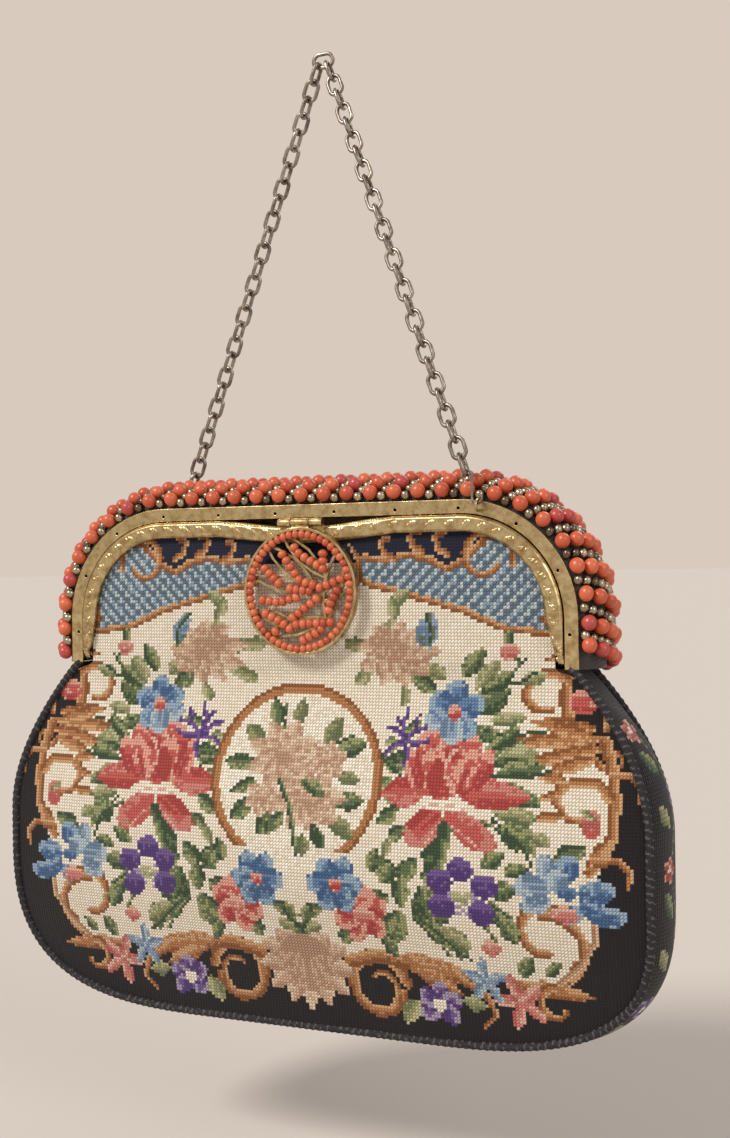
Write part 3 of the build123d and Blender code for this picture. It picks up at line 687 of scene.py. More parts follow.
def paint_nosegay(p):
    """Stems, leaves, four blooms, and a stalk with three leaves in front."""
    for points in nosegay_stems:
        p.stroke(points, 1.0, (greens[0], greens[0], greens[1]), 0.8)
    for x, z, angle, length, width in nosegay_leaves:
        tones = greens if (x + z) % 2 else (greens[1], pale_greens[0], pale_greens[1])
        p.leaf(x, z, angle, length, width, tones)
    p.bloom(-4, 3, 11.5, 8, 6.2, beiges, 70, 0.9)
    p.bloom(5, -9, 11.0, 8, 6.0, beiges, 100, 0.85)
    p.bloom(9, 2, 6.5, 6, 4.2, beiges, 80, 0.9)
    p.bloom(-9, -9, 6.0, 6, 4.0, beiges, 80, 0.9)
    p.stroke([(-4, -4), (-1, -10), (1, -18), (2, -24)], 1.6, greens, 0.8)
    p.leaf(2, -3, -30, 9, 4, greens)
    p.leaf(-2, -12, 230, 9, 4, greens)
    p.leaf(6, -15, -60, 8, 4, (greens[0], greens[0], greens[1]))


print("nosegay:", len(nosegay_leaves), "leaves")

# %% [markdown]
# The ring is brown and open at its foot. It isn't quite in the middle, so it is drawn from
# its own centre, on both halves at once. Two blue flowers close it, and a pale jagged leaf
# hangs below it.
# %% The medallion
ring_aside, ring_below = 1.3, 3
ring_half_width, ring_half_height = 24.2, 24.6


def paint_hanging_leaf(p):
    """Six pale points round a heart, three dark veins, and two small leaves on top."""
    for angle, length in ((-90, 15), (-66, 14.5), (-40, 15), (-15, 14.5), (10, 13), (35, 10)):
        p.leaf(0, -50.5, angle, length, 6.4, beiges)
    p.spot(0, -52.5, 8.2, 7.4, (beiges[0], beiges[1], beiges[0]))
    for angle in (-90, -60, -30):
        turn = math.radians(angle)
        p.stroke([(0, -47), (9 * math.cos(turn), -51 + 9 * math.sin(turn))],
                 1.0, (beiges[0], beiges[0], beiges[0]))
    p.leaf(1, -42, 60, 6, 4, greens)
    p.leaf(1, -44, 20, 6, 3, pale_greens)


def paint_medallion(p):
    """An ellipse filled light, with a brown rim, the nosegay inside it, and what hangs below."""
    aside = p.signed + ring_aside
    r = np.hypot(aside / ring_half_width, (p.z + ring_below) / ring_half_height)
    p.fill((r < 1) & (p.z > -30), cream_light, cream, 0.3)
    rim = (np.abs(r - 1) < 0.055) & (p.z > -22.5)
    p.fill(rim, browns[1])
    p.fill(rim & (r > 1.018), browns[0])
    half, p.x = p.x, aside
    paint_nosegay(p)
    p.x = half
    for angle in six_petals:
        p.petal(11.5, -31, angle, 7.6, 6.0, blues)
    p.spot(11.5, -31, 2.0, 1.8, reds)
    paint_hanging_leaf(p)


print("ring:", 2 * ring_half_width, "mm wide,", 2 * ring_half_height, "mm high")

# %% [markdown]
# The groups are painted one over another. On the front the medallion is last, over the
# flowers. The back isn't seen in the photograph, so it has the same pattern with the flowers
# last. Each stitch's tone then varies a little, as wool takes dye unevenly.
# %% The whole pattern
dye_spread = 0.09


def needlework_colours(x, z, front_side):
    """A colour for each stitch; the medallion is over the flowers in front, and under behind."""
    p = Painter(x, z)
    last = (*flowers, paint_medallion) if front_side else (paint_medallion, *flowers)
    for paint in (paint_ground, *scrolls, *last):
        paint(p)
    shade = 1 + dye_spread * (p.grain[:, None] - 0.5)
    return np.clip(p.colour * shade, 0, 1)


pair = needlework_colours(np.array([0.0, 45.5]), np.array([10.0, 16.0]), True)
print("two stitches:", pair.round(2).tolist())

# %% [markdown]
# A panel is a sheet of stitches that runs from the bottom seam up into the frame. Its outline
# is the pouch's own up to the mouth, and above it the arch drawn in by an inset. Its face bows
# out over the belly, with soft waves.
# %% The shape of a panel
stitch = 0.88
flap_inset, back_inset = 6.3, 1.2
flap_depth = 8.3


def panel_half_width(z, inset):
    """The pouch's width below the mouth, and the arch drawn in by an inset above it."""
    reach = corner_radius - inset
    up = np.clip((z - spring_height) / reach, 0, 1)
    arch = corner_x + reach * np.sqrt(1 - up ** 2)
    blend = smooth_step((mouth_height - z) / 2.5)
    return arch + (seam_x(np.minimum(z, mouth_height)) - arch) * blend


def panel_depth(x, z, width, padding):
    """Depth of the panel's face: a bow across, fuller than a circle, with soft waves."""
    across = np.clip(np.abs(x) / np.maximum(width, 1), 0, 1)
    below = smooth_step((mouth_height + 2 - z) / 6)
    seam = seam_y(np.minimum(z, mouth_height))
    belly = belly_y(np.minimum(z, mouth_height))
    pouch = seam + (belly - seam) * (1 - across ** 2.3)
    top_edge = np.clip((frame_top - flap_inset - z) / 10, 0, 1)
    flap = flap_depth + padding * (1 - across ** 6) * top_edge
    waves = 0.35 * np.sin(x / 13 + z / 21) * np.sin(z / 11 - x / 37)
    waves += 0.25 * np.sin(x / 5.5 + 2) * np.sin(z / 6.5)
    return flap + (pouch - flap) * below + waves * below * (1 - across ** 4)


print("panel:", round(2 * float(panel_half_width(full_height, flap_inset)), 1), "mm wide at its widest")

# %% [markdown]
# Rows are spaced evenly along the panel's curve, and a row's ends are pulled in to the outline,
# so the edge is smooth. Faces that shrink to nothing there are dropped. Each stitch then finds
# its place in the pattern as the camera sees it: what bulges nearer to the camera looks larger,
# so a place there counts as a little farther from the middle of the view.
# %% Two panels of stitches
pattern_distance = 341.6
curve_steps = 900
smallest_face = 0.05


def stitched_panel(side, inset, padding):
    """Points, faces, stitch coordinates and colours of a panel; side is -1 in front."""
    top = frame_top - inset
    fine = np.linspace(bottom_height, top, curve_steps)
    bow = panel_depth(np.zeros(curve_steps), fine, panel_half_width(fine, inset), padding)
    length = np.concatenate([[0], np.cumsum(np.hypot(np.diff(fine), np.diff(bow)))])
    rows = int(length[-1] / stitch)
    z = np.interp(np.linspace(0, length[-1], rows + 1), length, fine)
    columns = int(2 * seam_half / stitch)
    x = (np.arange(columns + 1) - columns / 2) * stitch
    zz, xx = np.meshgrid(z, x, indexing="ij")
    width = panel_half_width(zz, inset)
    xc = np.clip(xx, -width, width)
    depth = panel_depth(xc, zz, width, padding)
    points = np.stack([xc, side * depth, zz], -1).reshape(-1, 3)
    faces = grid_faces(rows + 1, columns + 1)
    flat = xc.reshape(-1)
    span = np.abs(flat[faces[:, 1]] - flat[faces[:, 0]]) + np.abs(flat[faces[:, 2]] - flat[faces[:, 3]])
    faces = faces[span > smallest_face]
    centre = points[faces].mean(1)
    near = pattern_distance / (pattern_distance + half_depth - np.abs(centre[:, 1]))
    column, row = np.meshgrid(np.arange(columns + 1), np.arange(rows + 1))
    art_x = (faces[:, 0] % (columns + 1) + 0.5 - columns / 2) * stitch * near
    art_z = camera_place[2] + (centre[:, 2] - camera_place[2]) * near
    colours = needlework_colours(art_x, art_z, side < 0)
    uv = np.stack([column.reshape(-1), row.reshape(-1)], -1).astype(float)
    if side > 0:
        faces = faces[:, ::-1]
    return in_metres(points), faces, uv, colours


def face_area(points, faces):
    """Half the cross product of each face's diagonals, added up."""
    a, b, c, d = (points[faces[:, k]] for k in range(4))
    return float(np.linalg.norm(np.cross(c - a, d - b), axis=1).sum() / 2)


points, faces, uv, colours = stitched_panel(-1, flap_inset, 1.0)
front = make_piece("needlework_front_panel", points, faces, None, uv, {"threads": colours})
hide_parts("needlework_front", "needlework_flap")
points, faces, uv, colours = stitched_panel(1, back_inset, 0.0)
back = make_piece("needlework_back_panel", points, faces, "bag", uv, {"threads": colours})
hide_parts("needlework_back")

# %% [markdown]
# A gusset joins the two panels, and a cord covers each seam. All three follow one line: down
# the side, round the corner, along the bottom and up again.
# %% The seam's line
def seam_line(count):
    """Evenly spaced X and Z along the seam, and its outward direction, from the left mouth."""
    t = np.linspace(0, 1, 1500)
    z = mouth_height + (bottom_height - mouth_height) * np.sin(t * np.pi / 2)
    x = seam_x(z)
    foot = np.linspace(bottom_flat, 0, 200)[1:]
    x = np.concatenate([x, foot])
    z = np.concatenate([z, np.full(len(foot), bottom_height)])
    x, z = np.concatenate([-x, x[::-1][1:]]), np.concatenate([z, z[::-1][1:]])
    length = np.concatenate([[0], np.cumsum(np.hypot(np.diff(x), np.diff(z)))])
    at = np.linspace(0, length[-1], count)
    x, z = np.interp(at, length, x), np.interp(at, length, z)
    dx, dz = np.gradient(x), np.gradient(z)
    size = np.hypot(dx, dz)
    return x, z, dz / size, -dx / size, at


seam_points = seam_line(3)
print("seam:", round(float(seam_points[-1][-1])), "mm from mouth to mouth")

# %% [markdown]
# The gusset is a strip sewn between the two panels. It bows outward between its two seams.
# Its ground is black, with small leaves, stems and buds, the same on both halves. Its rows are
# a little longer than the panels' stitches.
# %% The gusset
strip_rows, strip_columns = int(330 / stitch), 31
sprig_places = np.arange(8, 165, 17.5)


def gusset_strip():
    """The strip's points; across it, the bow is a parabola from seam to seam."""
    x, z, out_x, out_z, at = seam_line(strip_rows)
    s = np.linspace(-1, 1, strip_columns)
    swell = gusset_bulge * smooth_step((mouth_height + 2 - z) / 30)
    bow = (1 - s ** 2)[:, None] * swell
    px = x + out_x * bow
    pz = z + out_z * bow * 0.75
    py = s[:, None] * seam_y(z)
    points = np.stack([px, np.broadcast_to(py, px.shape), pz], -1)
    return points, at


points, at = gusset_strip()
strip_shape = points.shape[:2]
faces = grid_faces(*strip_shape)[:, ::-1]
flat_points = points.reshape(-1, 3)
centre = flat_points[faces].mean(1)
along = np.broadcast_to(at, strip_shape).reshape(-1)[faces].mean(1)
across = centre[:, 1]
sprig = Painter(along, across)
sprig.x = np.abs(along - at[-1] / 2)
sprig.fill(np.ones(len(along), bool), black, thread(40, 35, 36), 0.3)
for k, start in enumerate(sprig_places):
    bend = 1 if k % 2 else -1
    sprig.leaf(start, 2 * bend, 35 * bend, 8, 4.5, greens)
    sprig.leaf(start + 5, -3 * bend, -40 * bend, 7, 4, pale_greens)
    sprig.stroke([(start - 3, -2 * bend), (start + 4, 0), (start + 11, 3 * bend)], 1.1, greens, 0.6)
    for angle in (90, 18, 162, 234, 306):
        sprig.petal(start + 12, 4 * bend, angle, 3.4, 2.6, (reds, purples, pinks)[k % 3])
    sprig.spot(start + 12, 4 * bend, 1.0, 1.0, (cream, cream, cream_light))
column, row = np.meshgrid(np.arange(strip_shape[1]), np.arange(strip_shape[0]))
uv = np.stack([column.reshape(-1), row.reshape(-1)], -1).astype(float)
gusset = make_piece("gusset_strip", in_metres(flat_points), faces, "bag", uv,
                    {"threads": sprig.colour})
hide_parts("gusset")
print("gusset:", round(at[-1]), "mm long")

# %% [markdown]
# Along both seams runs a black cord, whipped with grey thread. The cord is a tube whose
# surface rises in slanted ridges, one for each turn of the whipping.
# %% A ridged tube
def tube(path, radius, sides, ridge=0.0, pitch=1.0):
    """A round tube along a path; ridges climb round it like a screw's thread."""
    forward = np.gradient(path, axis=0)
    forward /= np.linalg.norm(forward, axis=1, keepdims=True)
    up = np.cross(forward, [0.0, 1.0, 0.0])
    up /= np.linalg.norm(up, axis=1, keepdims=True)
    side = np.cross(forward, up)
    angle = np.linspace(0, 2 * np.pi, sides, endpoint=False)
    length = np.concatenate([[0], np.cumsum(np.linalg.norm(np.diff(path, axis=0), axis=1))])
    lift = radius + ridge * np.cos(angle[None, :] + 2 * np.pi * length[:, None] / pitch)
    points = (path[:, None] + lift[..., None] * (up[:, None] * np.cos(angle)[None, :, None]
                                                + side[:, None] * np.sin(angle)[None, :, None]))
    return points, length


line = np.stack([np.arange(5.0), np.zeros(5), np.zeros(5)], -1)
print("tube of 5 stations and 8 sides:", tube(line, 1.0, 8)[0].shape)

# %% [markdown]
# Now both cords. Most stitches of the whipping are grey, and some are worn away to black.
# %% The seam cords
cord_stations, cord_sides = 900, 10
cord_radius, cord_ridge, whip_pitch = 1.05, 0.11, 1.9


def seam_cord(name, side, node):
    """A whipped cord along one seam; side is -1 in front."""
    x, z, out_x, out_z, _ = seam_line(cord_stations)
    path = np.stack([x + out_x * 0.3, side * (seam_y(z) + 0.2), z + out_z * 0.3], -1)
    points, length = tube(path, cord_radius, cord_sides, cord_ridge, whip_pitch)
    faces = grid_faces(*points.shape[:2], close_columns=True)
    turned = np.tile(np.arange(cord_sides), cord_stations)[faces[:, 0]] * whip_pitch / cord_sides
    stripe = np.repeat(length, cord_sides)[faces].mean(1) + turned
    grey = (np.mod(stripe, whip_pitch) < 0.5) & (random.random(len(faces)) < 0.7)
    colours = np.where(grey[:, None], thread(78, 73, 73), thread(32, 29, 31))
    cord = make_piece(name, in_metres(points.reshape(-1, 3)), faces, "bag", None,
                      {"threads": colours})
    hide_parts(node)
    return cord


cord_front = seam_cord("seam_cord_front_whipped", -1, "seam_cord_front")
cord_back = seam_cord("seam_cord_back_whipped", 1, "seam_cord_back")
print("cords:", len(cord_front.data.polygons), "faces each")

# %% [markdown]
# A plain silk sheet lies behind the upper part of each panel, inside the arch.
# %% Silk behind the panels
def lining_sheet(name, side, inset, padding, body):
    """A plain sheet behind a panel's upper part, 0.8 mm inside it."""
    z = np.linspace(mouth_height - 2.0, frame_top - inset - 0.5, 36)
    share = np.linspace(-1, 1, 70)
    width = panel_half_width(z, inset) - 0.6
    x = share * width[:, None]
    zz = np.broadcast_to(z[:, None], x.shape)
    y = side * (panel_depth(x, zz, panel_half_width(zz, inset), padding) - 0.8)
    points = in_metres(np.stack([x, y, zz], -1).reshape(-1, 3))
    faces = grid_faces(*x.shape)
    sheet = make_piece(name, points, faces if side < 0 else faces[:, ::-1], body)
    return sheet, face_area(points, faces)


front_lining, front_lining_area = lining_sheet("silk_behind_front_panel", -1, flap_inset, 1.0, None)
back_lining, back_lining_area = lining_sheet("silk_behind_back_panel", 1, back_inset, 0.0, "bag")
print("silk behind the panels:", round((front_lining_area + back_lining_area) * 1e4, 1), "square cm")

# %% [markdown]
# Inside hangs a plain silk lining. It is the pouch's own shape drawn in by about two
# millimetres, with soft pleats, and it is seen only when the front frame is open.
# %% The lining bag
lining_rings, lining_points = 60, 200
side_gap, face_gap = 2.2, 1.9
pleats, pleat_depth = 23, 0.012


def lining_bag():
    """Rings at falling heights; each ring is the pouch's outline drawn in, with pleats."""
    drop = np.linspace(0, 1, lining_rings)
    z = mouth_height - 0.3 + (bottom_height + 1.6 - mouth_height) * np.sin(drop * np.pi / 2) ** 1.1
    angle = np.linspace(0, 2 * np.pi, lining_points, endpoint=False)
    level = np.maximum(z, bottom_height + 0.5)
    half = seam_x(level) - side_gap
    deep = seam_y(level) - face_gap + (belly_y(level) - seam_y(level)) * 0.7
    c, s = np.cos(angle), np.sin(angle)
    shape = (np.abs(c) ** 8 + np.abs(s) ** 8) ** (-1 / 8)
    pleat = 1 - pleat_depth * (1 + np.sin(angle * pleats)) * np.sin(drop * np.pi)[:, None]
    x = half[:, None] * (c * shape) * pleat
    y = deep[:, None] * (s * shape) * pleat * (1 - 0.12 * np.abs(c * shape) ** 2)
    return np.stack([x, y, np.broadcast_to(z[:, None], x.shape)], -1)


points = lining_bag()
lining_shape = points.shape[:2]
faces = grid_faces(*lining_shape, close_columns=True)
lining = make_piece("silk_lining", in_metres(points.reshape(-1, 3)), faces[:, ::-1], "bag")
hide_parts("lining")
print("lining:", lining_shape[0], "rings of", lining_shape[1], "points")

# %% [markdown]
# Coral and metal beads are wound over the arch in turn. Their places are read from the solid
# model, where each bead is a small cut solid, and a round bead takes each one's place. A
# bead's own size and colour differ a little from its neighbours', as natural coral does.
# %% Places from the solid model
def solid_parts(node, corners):
    """The corner points of each solid in a node, in millimetres about the bag's middle."""
    mesh = nodes[node].data
    flat = np.empty(len(mesh.vertices) * 3)
    mesh.vertices.foreach_get("co", flat)
    return (flat.reshape(-1, corners, 3) - middle) / MM


print("coral beads on the arch:", len(solid_parts("coral_bead_rows", 36)))

# %% [markdown]
# A ball is rings of points round the Y axis, with one more point at each pole. Its faces have
# four corners, and a face at a pole names its last corner twice.
# %% A ball
def ball(rings, segments):
    """A unit ball with its poles along Y, as ring and segment angles."""
    polar = np.linspace(0, np.pi, rings + 1)[1:-1]
    angle = np.linspace(0, 2 * np.pi, segments, endpoint=False)
    body = np.stack([np.outer(np.sin(polar), np.cos(angle)),
                     np.outer(np.cos(polar), np.ones(segments)),
                     np.outer(np.sin(polar), np.sin(angle))], -1).reshape(-1, 3)
    points = np.concatenate([body, [[0, 1, 0], [0, -1, 0]]])
    quads = grid_faces(rings - 1, segments, close_columns=True)[:, ::-1].tolist()
    top, low = len(points) - 2, len(points) - 1
    last = (rings - 2) * segments
    for k in range(segments):
        n = (k + 1) % segments
        quads.append([top, k, n, n])
        quads.append([low, last + n, last + k, last + k])
    return points, np.array(quads)


print("ball of 9 rings and 14 segments:", len(ball(9, 14)[1]), "faces")

# %% [markdown]
# A string runs from bead to bead, so a bead's hole points to the next bead, or at a string's
# end to the one before. The balls are squashed along the hole, turned at random round it, and
# made a little uneven.
# %% Strings of beads
string_gap = 1.6
size_spread, uneven = 0.07, 0.03
odd_share = 0.14
extra_string_drop = 5.6


def make_beads(name, node, corners, diameter, body, ball_size, squash, tones, last_string=0):
    """Balls at the cut beads' places; the last string may be laid once more, further down."""
    centres = solid_parts(node, corners).mean(1)
    if last_string:
        centres = np.concatenate([centres, centres[-last_string:] - np.array([0, 0, extra_string_drop])])
    after = np.roll(centres, -1, axis=0) - centres
    before = centres - np.roll(centres, 1, axis=0)
    close = np.linalg.norm(after, axis=1) < diameter * string_gap
    string = np.where(close[:, None], after, before)
    string /= np.linalg.norm(string, axis=1, keepdims=True)
    points, quads = ball(*ball_size)
    count = len(centres)
    size = diameter / 2 * (1 + size_spread * (random.random((count, 3)) - 0.5))
    size[:, 1] *= squash
    side = np.cross(string, random.normal(size=(count, 3)))
    side /= np.linalg.norm(side, axis=1, keepdims=True)
    third = np.cross(side, string)
    local = points[None] * size[:, None]
    local *= 1 + uneven * np.sin(points[None, :, 0:1] * 3 + random.random((count, 1, 1)) * 6)
    spin = np.stack([side, string, third], 1)
    placed = np.einsum("npk,nkc->npc", local, spin) + centres[:, None]
    faces = (quads[None] + (np.arange(count) * len(points))[:, None, None]).reshape(-1, 4)
    pick = random.random(count)
    shade = tones[0] + (tones[1] - tones[0]) * pick[:, None]
    shade = np.where(random.random(count)[:, None] < odd_share, tones[2], shade)
    colours = np.repeat(shade, len(quads), axis=0)
    mesh = bpy.data.meshes.new(name)
    loops = [f if f[2] != f[3] else f[:3] for f in faces.tolist()]
    mesh.from_pydata(in_metres(placed.reshape(-1, 3)).tolist(), [], loops)
    attribute = mesh.color_attributes.new("threads", "FLOAT_COLOR", "CORNER")
    sizes = np.array([len(f) for f in loops])
    full = np.ones((sizes.sum(), 4), np.float32)
    full[:, :3] = np.repeat(colours, sizes, axis=0)
    attribute.data.foreach_set("color", full.reshape(-1))
    mesh.polygons.foreach_set("use_smooth", [True] * len(mesh.polygons))
    mesh.update()
    piece = bpy.data.objects.new(name, mesh)
    bpy.context.scene.collection.objects.link(piece)
    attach(piece, body)
    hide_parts(node)
    print(name, count, "beads")
    return piece


coral_tones = (thread(190, 76, 42), thread(214, 102, 62), thread(182, 66, 58))
metal_tones = (thread(150, 140, 118), thread(190, 180, 156), thread(112, 102, 86))
clasp_tones = (thread(190, 86, 48), thread(212, 112, 72), thread(176, 72, 46))
coral_rows = make_beads("coral_beads_on_arch", "coral_bead_rows", 36, 4.1, "bag",
                        (9, 14), 0.93, coral_tones, 6)
metal_rows = make_beads("metal_beads_on_arch", "metal_bead_rows", 24, 2.75, "bag",
                        (7, 10), 0.82, metal_tones)
rim_beads = make_beads("coral_beads_on_rim", "clasp_rim_beads", 24, 2.3, "clasp",
                       (8, 12), 0.9, clasp_tones)
string_beads = make_beads("coral_beads_on_strings", "clasp_string_beads", 24, 2.65, "clasp",
                          (8, 12), 0.84, clasp_tones)

# %% [markdown]
# A chain link is a wire bent to a long oval. The solid model has links with flat sides at
# their true places; here each gets a round wire. A link's own corner points tell how it
# stands: they spread most along it, and least across its flat side.
# %% The chain
link_length, link_width, link_wire = 6.9, 4.9, 1.1
link_corners = 72
loop_steps, wire_sides = 28, 10


def link_wire_loop():
    """A long oval of wire: two half circles joined by straights, and a round section."""
    straight = (link_length - link_width) / 2
    bend = (link_width - link_wire) / 2
    turn = np.linspace(0, 2 * np.pi, loop_steps, endpoint=False)
    line_x, line_z = bend * np.cos(turn), bend * np.sin(turn)
    line_z = line_z + np.where(np.sin(turn) >= 0, straight, -straight)
    out = np.stack([np.cos(turn), np.zeros(loop_steps), np.sin(turn)], -1)
    angle = np.linspace(0, 2 * np.pi, wire_sides, endpoint=False)
    centre = np.stack([line_x, np.zeros(loop_steps), line_z], -1)
    ring = (out[:, None] * np.cos(angle)[None, :, None]
            + np.array([0.0, 1.0, 0.0]) * np.sin(angle)[None, :, None])
    return (centre[:, None] + ring * link_wire / 2).reshape(-1, 3)


def make_links(name, node):
    """Wire loops in place of the links of a node, each turned as its own corner points lie."""
    parts = solid_parts(node, link_corners)
    centre = parts.mean(1)
    spread = np.einsum("nki,nkj->nij", parts - centre[:, None], parts - centre[:, None])
    _, directions = np.linalg.eigh(spread)
    flat, across, long = (directions[:, :, k] for k in range(3))
    flip = np.sign(np.einsum("ni,ni->n", np.cross(across, flat), long))
    spin = np.stack([across * flip[:, None], flat, long], 1)
    loop = link_wire_loop()
    placed = np.einsum("pk,nkc->npc", loop, spin) + centre[:, None]
    faces = grid_faces(loop_steps, wire_sides, close_rows=True, close_columns=True)
    faces = (faces[None] + (np.arange(len(centre)) * len(loop))[:, None, None]).reshape(-1, 4)
    piece = make_piece(name, in_metres(placed.reshape(-1, 3)), faces, "chain")
    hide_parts(node)
    print(name, len(centre), "links")
    return piece


chains = [make_links("chain_links_right", "chain_right"),
          make_links("chain_links_left", "chain_left"),
          make_links("chain_link_at_top", "chain_top_link")]

# %% [markdown]
# The front frame is a gilt moulding: an arch that dips to a cusp in the middle, half round
# in section, with a bead line along each side and leaves chased between. It is swept here
# as a grid, station by station, over the solid model's own outline.
# %% The front moulding
moulding_inset, moulding_width = 3.9, 4.4
cusp_drop, cusp_half = 2.2, 26.0
moulding_front, moulding_back = -10.6, -8.4
foot_width, foot_taper, end_gap = 1.7, 14, 3.5
bead_line_places, bead_pitch = (0.13, 0.87), 1.05


def moulding_station(distance):
    """The moulding's outer line: the arch drawn in, with the cusp's dip along the top."""
    x, z, out_x, out_z = arch_line(distance, -moulding_inset)
    on_top = (np.abs(x) < cusp_half) * (z > spring_height)
    dip = cusp_drop * (1 - smooth_step(np.abs(x) / cusp_half)) * on_top
    return x, z - dip, out_x, out_z


def front_moulding(stations, across):
    """Across the moulding, height is a half round plus two bead lines and chased leaves."""
    distance = np.linspace(end_gap, arch_length - end_gap, stations)
    x, z, out_x, out_z = moulding_station(distance)
    foot = np.clip(np.minimum(distance, arch_length - distance) / foot_taper, 0, 1)
    width = foot_width + (moulding_width - foot_width) * smooth_step(foot)
    s = np.linspace(0, 1, across)
    inward = s[None] * width[:, None]
    px = x[:, None] - out_x[:, None] * inward
    pz = z[:, None] - out_z[:, None] * inward
    round_top = np.sqrt(np.clip(1 - (2 * s - 1) ** 2, 0, 1)) ** 0.7
    beads = 0.0
    for place in bead_line_places:
        wave = (0.5 + 0.5 * np.cos(2 * np.pi * distance / bead_pitch))[:, None]
        beads = beads + 0.16 * (np.abs(s - place) < 0.09)[None] * wave
    swirl = np.sin(2 * np.pi * distance[:, None] / 5.2 + 5.0 * (s[None] - 0.5) * np.sign(x)[:, None])
    veins = np.cos(2 * np.pi * distance[:, None] / 1.3 + 9 * np.abs(s[None] - 0.5))
    chase = (0.3 * np.tanh(4 * swirl) + 0.07 * veins) * np.exp(-((s - 0.5) / 0.27) ** 4)[None]
    high = np.maximum(round_top[None] * 1.45 + 0.75 + beads + chase, 0.0)
    high[:, 0] = high[:, -1] = 0.0
    py = moulding_back - high * (moulding_back - moulding_front) / 2.3
    return np.stack([px, py, pz], -1)


points = front_moulding(1100, 27)
faces = grid_faces(*points.shape[:2])
moulding = make_piece("chased_front_moulding", in_metres(points.reshape(-1, 3)), faces, "front")
thick = moulding.modifiers.new("back_face", "SOLIDIFY")
thick.thickness, thick.offset = 0.0003, -1
print("moulding:", len(faces), "faces")

# %% [markdown]
# The moulding's feet and hinge ears stay as the solid model has them, and so do the arch of
# channel metal, the hinges, the clasp's rim and leaves, the hooks and the eyes. Sharp cut
# edges on those are softened by a small bevel.
# %% Solid pieces that stay
soft_edges = {"outer_frame": 0.15, "front_frame": 0.2, "clasp_rim": 0.2, "clasp_leaves": 0.18,
              "clasp_hinge": 0.12, "hook_right": 0.2, "hook_left": 0.2, "eye_right": 0.2, "eye_left": 0.2}
for name, width in soft_edges.items():
    weld = nodes[name].modifiers.new("weld", "WELD")
    weld.merge_threshold = 1e-6
    bevel = nodes[name].modifiers.new("soft_edge", "BEVEL")
    bevel.width, bevel.segments = width * MM, 2
    bevel.limit_method, bevel.angle_limit = "ANGLE", math.radians(28)
    bevel.harden_normals = True
print("pieces with softened edges:", len(soft_edges))

# %% [markdown]
# A plain felt roll lies under the beads. It is the same round-backed roll as the solid one,
# with enough steps to look round.
# %% The roll under the beads
def bead_roll():
    """A circle through both edges of the frame, carried along the arch."""
    bed_half, bed_rise = half_depth - 0.9, 4.6
    radius = (bed_half ** 2 + bed_rise ** 2) / (2 * bed_rise)
    reach = math.asin(bed_half / radius)
    angle = np.linspace(-reach, reach, 17)
    distance = np.linspace(0, arch_length, 260)
    rise = radius * np.cos(angle) - radius + bed_rise - 0.05
    grid = [arch_line(distance, r) for r in rise]
    x = np.stack([g[0] for g in grid], 1)
    z = np.stack([g[1] for g in grid], 1)
    y = np.broadcast_to(radius * np.sin(angle), x.shape)
    return np.stack([x, y, z], -1)


points = bead_roll()
faces = grid_faces(*points.shape[:2])
roll = make_piece("felt_roll", in_metres(points.reshape(-1, 3)), faces, "bag")
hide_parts("bead_bed")
print("roll:", len(faces), "faces")

# %% [markdown]
# Finishes are node graphs. Two small helpers build them: one opens a node group with its
# inputs and outputs, and the other adds a sum node, whose values are numbers or sockets.
# %% Helpers for node groups
def new_group(name, inputs, outputs):
    """A node group, with its input and output nodes."""
    group = bpy.data.node_groups.new(name, "ShaderNodeTree")
    for label, kind, value in inputs:
        socket = group.interface.new_socket(label, in_out="INPUT", socket_type=kind)
        if value is not None:
            socket.default_value = value
    for label, kind in outputs:
        group.interface.new_socket(label, in_out="OUTPUT", socket_type=kind)
    return group, group.nodes.new("NodeGroupInput"), group.nodes.new("NodeGroupOutput")


def math_node(tree, operation, *values):
    """The result of a sum on numbers or sockets."""
    node = tree.nodes.new("ShaderNodeMath")
    node.operation = operation
    for k, value in enumerate(values):
        if isinstance(value, (int, float)):
            node.inputs[k].default_value = value
        else:
            tree.links.new(value, node.inputs[k])
    return node.outputs[0]


print("materials so far:", len(bpy.data.materials))

# %% [markdown]
# The first shared effect is the uneven wear of old metal: cloudy noise, spread out into a mask
# from 0 to 1.
# %% Wear
wear, wear_in, wear_out = new_group(
    "old_metal_wear", [("Place", "NodeSocketVector", None), ("Size", "NodeSocketFloat", 400.0)],
    [("Mask", "NodeSocketFloat")])
cloud = wear.nodes.new("ShaderNodeTexNoise")
cloud.inputs["Detail"].default_value = 6
cloud.inputs["Roughness"].default_value = 0.65
wear.links.new(wear_in.outputs["Place"], cloud.inputs["Vector"])
wear.links.new(wear_in.outputs["Size"], cloud.inputs["Scale"])
spread = wear.nodes.new("ShaderNodeMapRange")
spread.inputs["From Min"].default_value = 0.36
spread.inputs["From Max"].default_value = 0.64
wear.links.new(cloud.outputs["Fac"], spread.inputs["Value"])
wear.links.new(spread.outputs["Result"], wear_out.inputs["Mask"])
print("effect:", wear.name)
